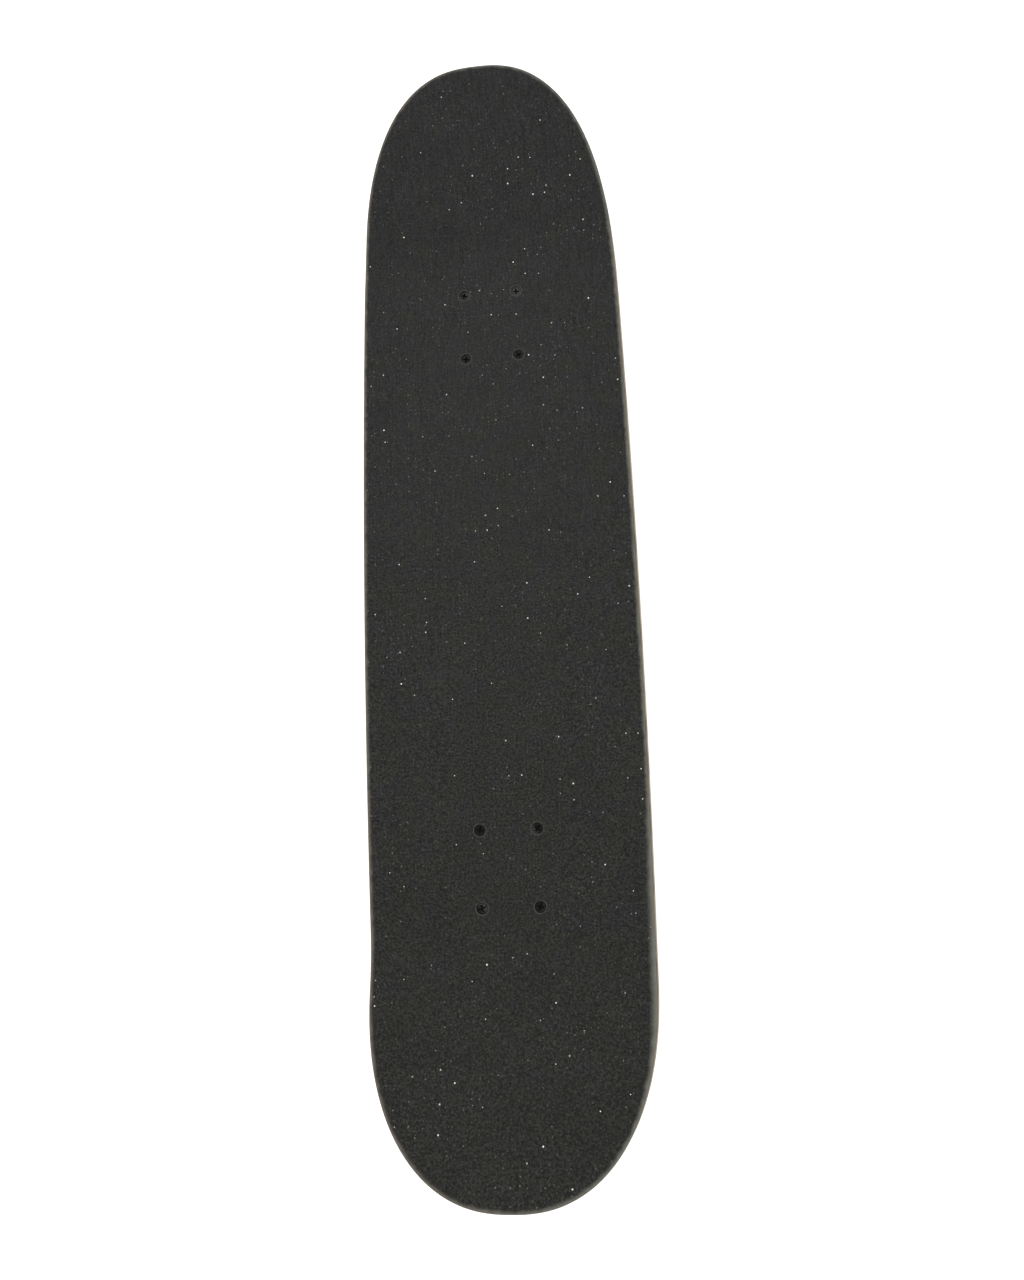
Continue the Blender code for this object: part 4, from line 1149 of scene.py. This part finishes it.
def hanger_skin():
    """The yoke over the axle, the arm and stem up to the pivot, and the ring round the
    kingpin, run together with fillets, less the bores of ring and axle."""
    space = Space((-71, -33, -67), (71, 38, -6), 0.7)
    share = np.clip(np.abs(space.x) / HANGER_HALF, 0, 1)
    near = np.maximum(1 - np.abs(space.x) / YOKE_HALF, 0)
    fade = near * near * (3 - 2 * near)
    low_radius = (10.8 - 3.2 * share) * MM
    top_radius = low_radius + (8.5 * MM - low_radius) * fade
    lift = ARM_FOOT - AXLE
    off_y = space.y - AXLE[1]
    off_z = space.z - AXLE[2]
    climb = np.maximum(fade, 1e-6)
    along = (off_y * lift[1] + off_z * lift[2]) / (lift.dot(lift) * climb)
    along = np.clip(along, 0, 1)
    gap = np.hypot(off_y - lift[1] * fade * along, off_z - lift[2] * fade * along)
    yoke = gap - (low_radius + (top_radius - low_radius) * along)
    edge = 0.9 * MM
    past = np.abs(space.x) - HANGER_HALF + edge
    out = yoke + edge
    yoke = np.minimum(np.maximum(past, out), 0) - edge
    yoke += np.hypot(np.maximum(past, 0), np.maximum(out, 0))
    arm = space.limb(ARM_FOOT, STEM_ROOT, 8.9 * MM, 8.4 * MM)
    stem = space.limb(STEM_ROOT, PIVOT - STEER * 7.3 * MM, STEM_RADIUS, PIVOT_TIP)
    tip = space.limb(PIVOT - STEER * 8 * MM, PIVOT, PIVOT_TIP, PIVOT_TIP)
    ring_end = RING_AT + RING_THICKNESS
    ring = space.drum(HEAD_SEAT, DOWN, RING_AT, ring_end, RING_RADIUS, edge)
    across = np.array((1.0, 0, 0))
    towards = np.cross(across, DOWN)
    reach = (ARM_FOOT - HEAD_SEAT).dot(towards)
    half = (10.5 * MM, reach / 2, 2.4 * MM)
    web = space.block(RING_CENTRE + towards * reach / 2, half, (across, towards, DOWN), edge)
    field = blended(yoke, arm, 3.5 * MM)
    field = blended(field, stem, 1.5 * MM)
    field = np.minimum(field, tip)
    plate = blended(ring, web, 2.0 * MM)
    field = blended(field, plate, 2.4 * MM)
    bushing_room = 12.6 * MM
    bores = (
        (HEAD_SEAT, DOWN, 0, 80 * MM, RING_HOLE),
        (AXLE, across, -90 * MM, 90 * MM, AXLE_RADIUS + 0.15 * MM),
        (HEAD_SEAT, DOWN, 12.6 * MM, RING_AT - 0.1 * MM, bushing_room),
        (HEAD_SEAT, DOWN, ring_end + 0.1 * MM, 70 * MM, bushing_room),
    )
    return space.skin(space.bored(field, bores))


# ---- Truck fittings ----

# Radius and place along the axis in millimetres, as in all profiles below
LINER_PROFILE = [(0, 8.7), (8.3, 8.7), (8.5, 8.3), (8.5, -6.2), (9.6, -6.5), (9.6, -7.4)]
LINER_PROFILE += [(6.7, -7.4), (6.35, -6.8), (6.3, 0), (5.4, 3.2), (3.2, 5.4), (0, 6.3)]
BUSHING_BORE = 6.0
PIN = (HEAD_SEAT, DOWN)


def scaled_profile(corners, fillet, closed=False):
    """Corners in millimetres as rounded rows of radius and height."""
    return (rounded(corners, fillet, closed) * MM).T


def bushing_shape(start, length, top, low, bulge):
    """A bored barrel: its side bows out by bulge and its rims are rounded.

    The bore leaves the kingpin room when the barrel leans with the hanger.
    """
    share = np.linspace(0, 1, 15)
    side = top + (low - top) * share + bulge * np.sin(math.pi * share)
    ends = 0.6 * (1 - np.sin(np.clip(np.minimum(share, 1 - share) / 0.07, 0, 1) * math.pi / 2))
    outer = np.stack([side - ends, start + length * share], -1)
    bore = [(BUSHING_BORE, start + length), (BUSHING_BORE, start)]
    return (np.concatenate([outer, bore]) * MM).T


def cupped_washer_shape(start, thickness, radius, lip):
    """A washer whose rim is turned over the bushing's edge; lip is signed along the pin."""
    near, far = (start, start + thickness) if lip > 0 else (start + thickness, start)
    step = math.copysign(thickness * 0.5, lip)
    corners = [(5.2, near), (radius - 1.2, near), (radius, near + step), (radius, far + lip)]
    corners += [(radius - 0.55, far + lip), (radius - 0.75, far), (5.2, far)]
    return scaled_profile(corners, 0.5, True)


def kingpin_shape(length):
    """A bolt with a hexagon head in its pocket, a shank, a thread and a chamfered end."""
    columns = 72
    threaded = 38 * MM
    corner = hexagon(13.8 * MM, columns)
    return stacked(
        level((0, 6.5 * MM), (-5.4 * MM, -5.4 * MM), columns),
        (corner, np.full((1, columns), -5.0 * MM)),
        (corner, np.full((1, columns), -0.3 * MM)),
        level((KINGPIN_RADIUS, KINGPIN_RADIUS), (-0.3 * MM, threaded), columns),
        thread(KINGPIN_RADIUS, 1.06 * MM, 0.5 * MM, threaded, length - 0.9 * MM, columns),
        level((KINGPIN_RADIUS - 0.9 * MM, 0), (length, length), columns),
    )


def axle_shape(half):
    """The axle's rod with a thread on each end past the wheels."""
    columns = 48
    threaded = 81.0 * MM
    end = half - 0.6 * MM
    near = thread(AXLE_RADIUS, 1.06 * MM, 0.45 * MM, threaded, end, columns)
    return stacked(
        level((0, AXLE_RADIUS - 0.7 * MM), (-half, -half), columns),
        (near[0][::-1], -near[1][::-1]),
        near,
        level((AXLE_RADIUS - 0.7 * MM, 0), (half, half), columns),
    )


def add_bushing(row, shape, truck, side):
    """A bushing turned round the kingpin, its place baked into its mesh."""
    name = f"bushing_{row}_side_{truck}"
    made = linked(name, turned(name, shape, PIN, 72, side), BUSHING)
    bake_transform(made)
    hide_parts(f"bushing_{row}_{truck}")


def add_truck(truck, side, castings):
    """One truck: castings, liner, kingpin, bushings, washers, nut and axle.

    The baseplate and what is fixed to it ride on the board, the hanger casting and the axle on
    the hanger; the bushings ride on neither. Places along the kingpin are in millimetres from its
    head's seat.
    """
    hanger = f"{truck}_hanger"
    for part, (points, faces), finish, body in (
        ("baseplate", castings[0], PLATE_ALLOY, "board"),
        ("hanger", castings[1], HANGER_ALLOY, hanger),
    ):
        name = f"cast_{part}_{truck}"
        mesh = closed_mesh(name, on_truck(points, side), faces, 60)
        piece(name, mesh, finish, f"{part}s", body, f"{part}_{truck}")

    def add_solid(part, shape, axis, finish, slot, body, node, columns):
        options = {"columns": columns, "side": side, "closed": False}
        node = f"{node}_{truck}"
        add_turned(f"{part}_{truck}", shape, axis, finish, slot, body, node, **options)

    liner = scaled_profile(LINER_PROFILE, 0.3)
    pivot = (PIVOT, STEER)
    add_solid("pivot_liner", liner, pivot, LINER, "pivot_liners", "board", "pivot_cup", 48)
    bolt = kingpin_shape(57.0 * MM)
    add_solid("kingpin_bolt", bolt, PIN, DARK_STEEL, "kingpins", "board", "kingpin", 72)
    for row, shape, still, leaning in (
        ("board", bushing_shape(12.6, 14.6, 11.5, 11.5, 0.8), 12.6, 27.2),
        ("road", bushing_shape(32.8, 10.2, 11.6, 9.7, 0.3), 43.0, 32.8),
    ):
        ends = [on_truck(HEAD_SEAT + DOWN * reach * MM, side) for reach in (still, leaning)]
        add_bushing(row, shape, truck, side)
    for row, shape in (
        ("board", cupped_washer_shape(10.4, 1.2, 12.7, 1.6)),
        ("road", cupped_washer_shape(43.3, 1.3, 10.6, -1.1)),
    ):
        name, node = f"cupped_washer_{row}_{truck}", f"washer_{row}_{truck}"
        options = {"columns": 72, "side": side}
        add_turned(name, shape, PIN, ZINC, "steel_washers", "board", node, **options)
    size = (14.3 * MM, KINGPIN_RADIUS + 0.1 * MM, 6.4 * MM, 9.0 * MM)
    seat = (HEAD_SEAT + DOWN * 45.1 * MM, DOWN)
    names = (f"kingpin_lock_nut_{truck}", f"kingpin_nylon_{truck}")
    add_lock_nut(*names, size, seat, "board", f"kingpin_nut_{truck}", side)
    rod = axle_shape(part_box(f"axle_{truck}")[1].x)
    add_solid("axle_rod", rod, (AXLE, (1, 0, 0)), GROUND_STEEL, "axles", hanger, "axle", 48)


castings = (baseplate_skin(), hanger_skin())
for truck, side in TRUCKS:
    add_truck(truck, side, castings)

# ---- Wheels and bearings ----

# The outer half of a wheel's section as radius and place across, and its corners' fillets
WHEEL_PROFILE = [(8.8, 4.7), (11.2, 4.7), (11.2, 12.2), (15.3, 12.2), (16.6, 15.2)]
WHEEL_PROFILE += [(18.9, 16.0), (22.4, 14.9), (24.9, 13.3), (26.0, 10.3)]
WHEEL_FILLETS = [0.2, 0.2, 0.3, 1.0, 0.9, 1.6, 1.2, 1.6, 2.4]
BEARING_NEAR = 5.0
BEARING_FAR = 12.0


def wheel_shape():
    """The wheel's section: bearing seat, dished side, soft lip and a rounded tread."""
    corners = np.array(WHEEL_PROFILE)
    mirrored = corners[::-1] * np.array((1, -1))
    fillets = WHEEL_FILLETS + WHEEL_FILLETS[::-1]
    return (rounded(np.concatenate([corners, mirrored]), fillets, True, 8) * MM).T


def ring_profile(inner, outer, near, far, fillet):
    """A ring's rectangular section with its corners eased, in millimetres."""
    corners = [(inner, near), (outer, near), (outer, far), (inner, far)]
    return scaled_profile(corners, fillet, True)


def seal_profile(near, far):
    """A bearing's seal: a thin dished disc with a bead at its rim and at its lip."""
    out = 1 if far > near else -1
    face = far - out * 0.45
    back = face - out * 0.7
    corners = [(6.35, back), (9.25, back), (9.25, face), (8.75, face + out * 0.18)]
    corners += [(8.3, face - out * 0.12), (6.9, face - out * 0.12), (6.6, face), (6.35, face)]
    return scaled_profile(corners, 0.12, True)


def add_wheel(truck, hand, out):
    """One wheel with two bearings on its body, and the fittings that stay on the axle."""
    tag = f"{truck}_{hand}"
    spin = f"wheel_{tag}"
    steer = f"{truck}_hanger"
    middle = centre(f"wheel_{tag}")
    facing = (out, 0, 0)

    def add_ring(part, shape, finish, slot, body, *nodes, columns=96):
        axis = (middle, facing)
        add_turned(f"{part}_{tag}", shape, axis, finish, slot, body, *nodes, columns=columns)

    add_ring("tyre", wheel_shape(), URETHANE, "wheels", spin, f"wheel_{tag}", columns=160)
    for place, sign in (("inboard", -1), ("outboard", 1)):
        near, far = sign * BEARING_NEAR, sign * BEARING_FAR
        node = f"outer_race_{tag}_{place}"
        race = ring_profile(9.2, 11.0, near, far, 0.35)
        add_ring(f"bearing_ring_{place}", race, GROUND_STEEL, "bearings", spin, node)
        add_ring(f"bearing_seal_{place}", seal_profile(near, far), SEAL, "bearings", spin)
        washer_near = far + sign * 0.08
        washer = ring_profile(4.4, 6.6, washer_near, washer_near + sign * 0.75, 0.18)
        add_ring(f"speed_washer_{place}", washer, ZINC, "steel_washers", steer, columns=64)
    sleeve = [(4.3, -12), (6.1, -12), (6.2, -11.7), (6.2, -5), (5.2, -5), (5.2, 5)]
    sleeve += [(6.2, 5), (6.2, 11.7), (6.1, 12), (4.3, 12)]
    shape, node = scaled_profile(sleeve, 0.15, True), f"inner_races_{tag}"
    add_ring("inner_races_spacer", shape, GROUND_STEEL, "bearings", steer, node, columns=64)
    low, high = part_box(f"axle_nut_{tag}")
    seat = Vector((low.x if out > 0 else high.x, middle.y, middle.z))
    size = (12.7 * MM, AXLE_RADIUS + 0.1 * MM, 4.5 * MM, high.x - low.x)
    names = (f"axle_lock_nut_{tag}", f"axle_nylon_{tag}")
    add_lock_nut(*names, size, (seat, facing), steer, f"axle_nut_{tag}")


for truck, _ in TRUCKS:
    for hand, out in HANDS:
        add_wheel(truck, hand, out)

# ---- Floor ----


def add_floor():
    """A plain pale floor that the wheels stand on."""
    finish = Finish("pale_floor", Specular_IOR_Level=0.1)
    cloud = finish.clouds(400, 2)
    colour = finish.mix(cloud, (0.90, 0.90, 0.90), (0.885, 0.885, 0.885))
    finish.shader.inputs["Emission Color"].default_value = (1, 1, 1, 1)
    finish.shader.inputs["Emission Strength"].default_value = 0.34
    reach, count = 12.0, 9
    line = np.linspace(-reach, reach, count)
    x, y = np.meshgrid(line, line)
    points = np.stack([x, y, np.zeros_like(x)], -1).reshape(-1, 3)
    faces = quads(np.arange(count * count).reshape(count, count), wrap_columns=False)
    mesh = bpy.data.meshes.new("floor")
    mesh.from_pydata(points.tolist(), [], faces.tolist())
    linked("floor", mesh, finish.done(colour, 0.85))


add_floor()
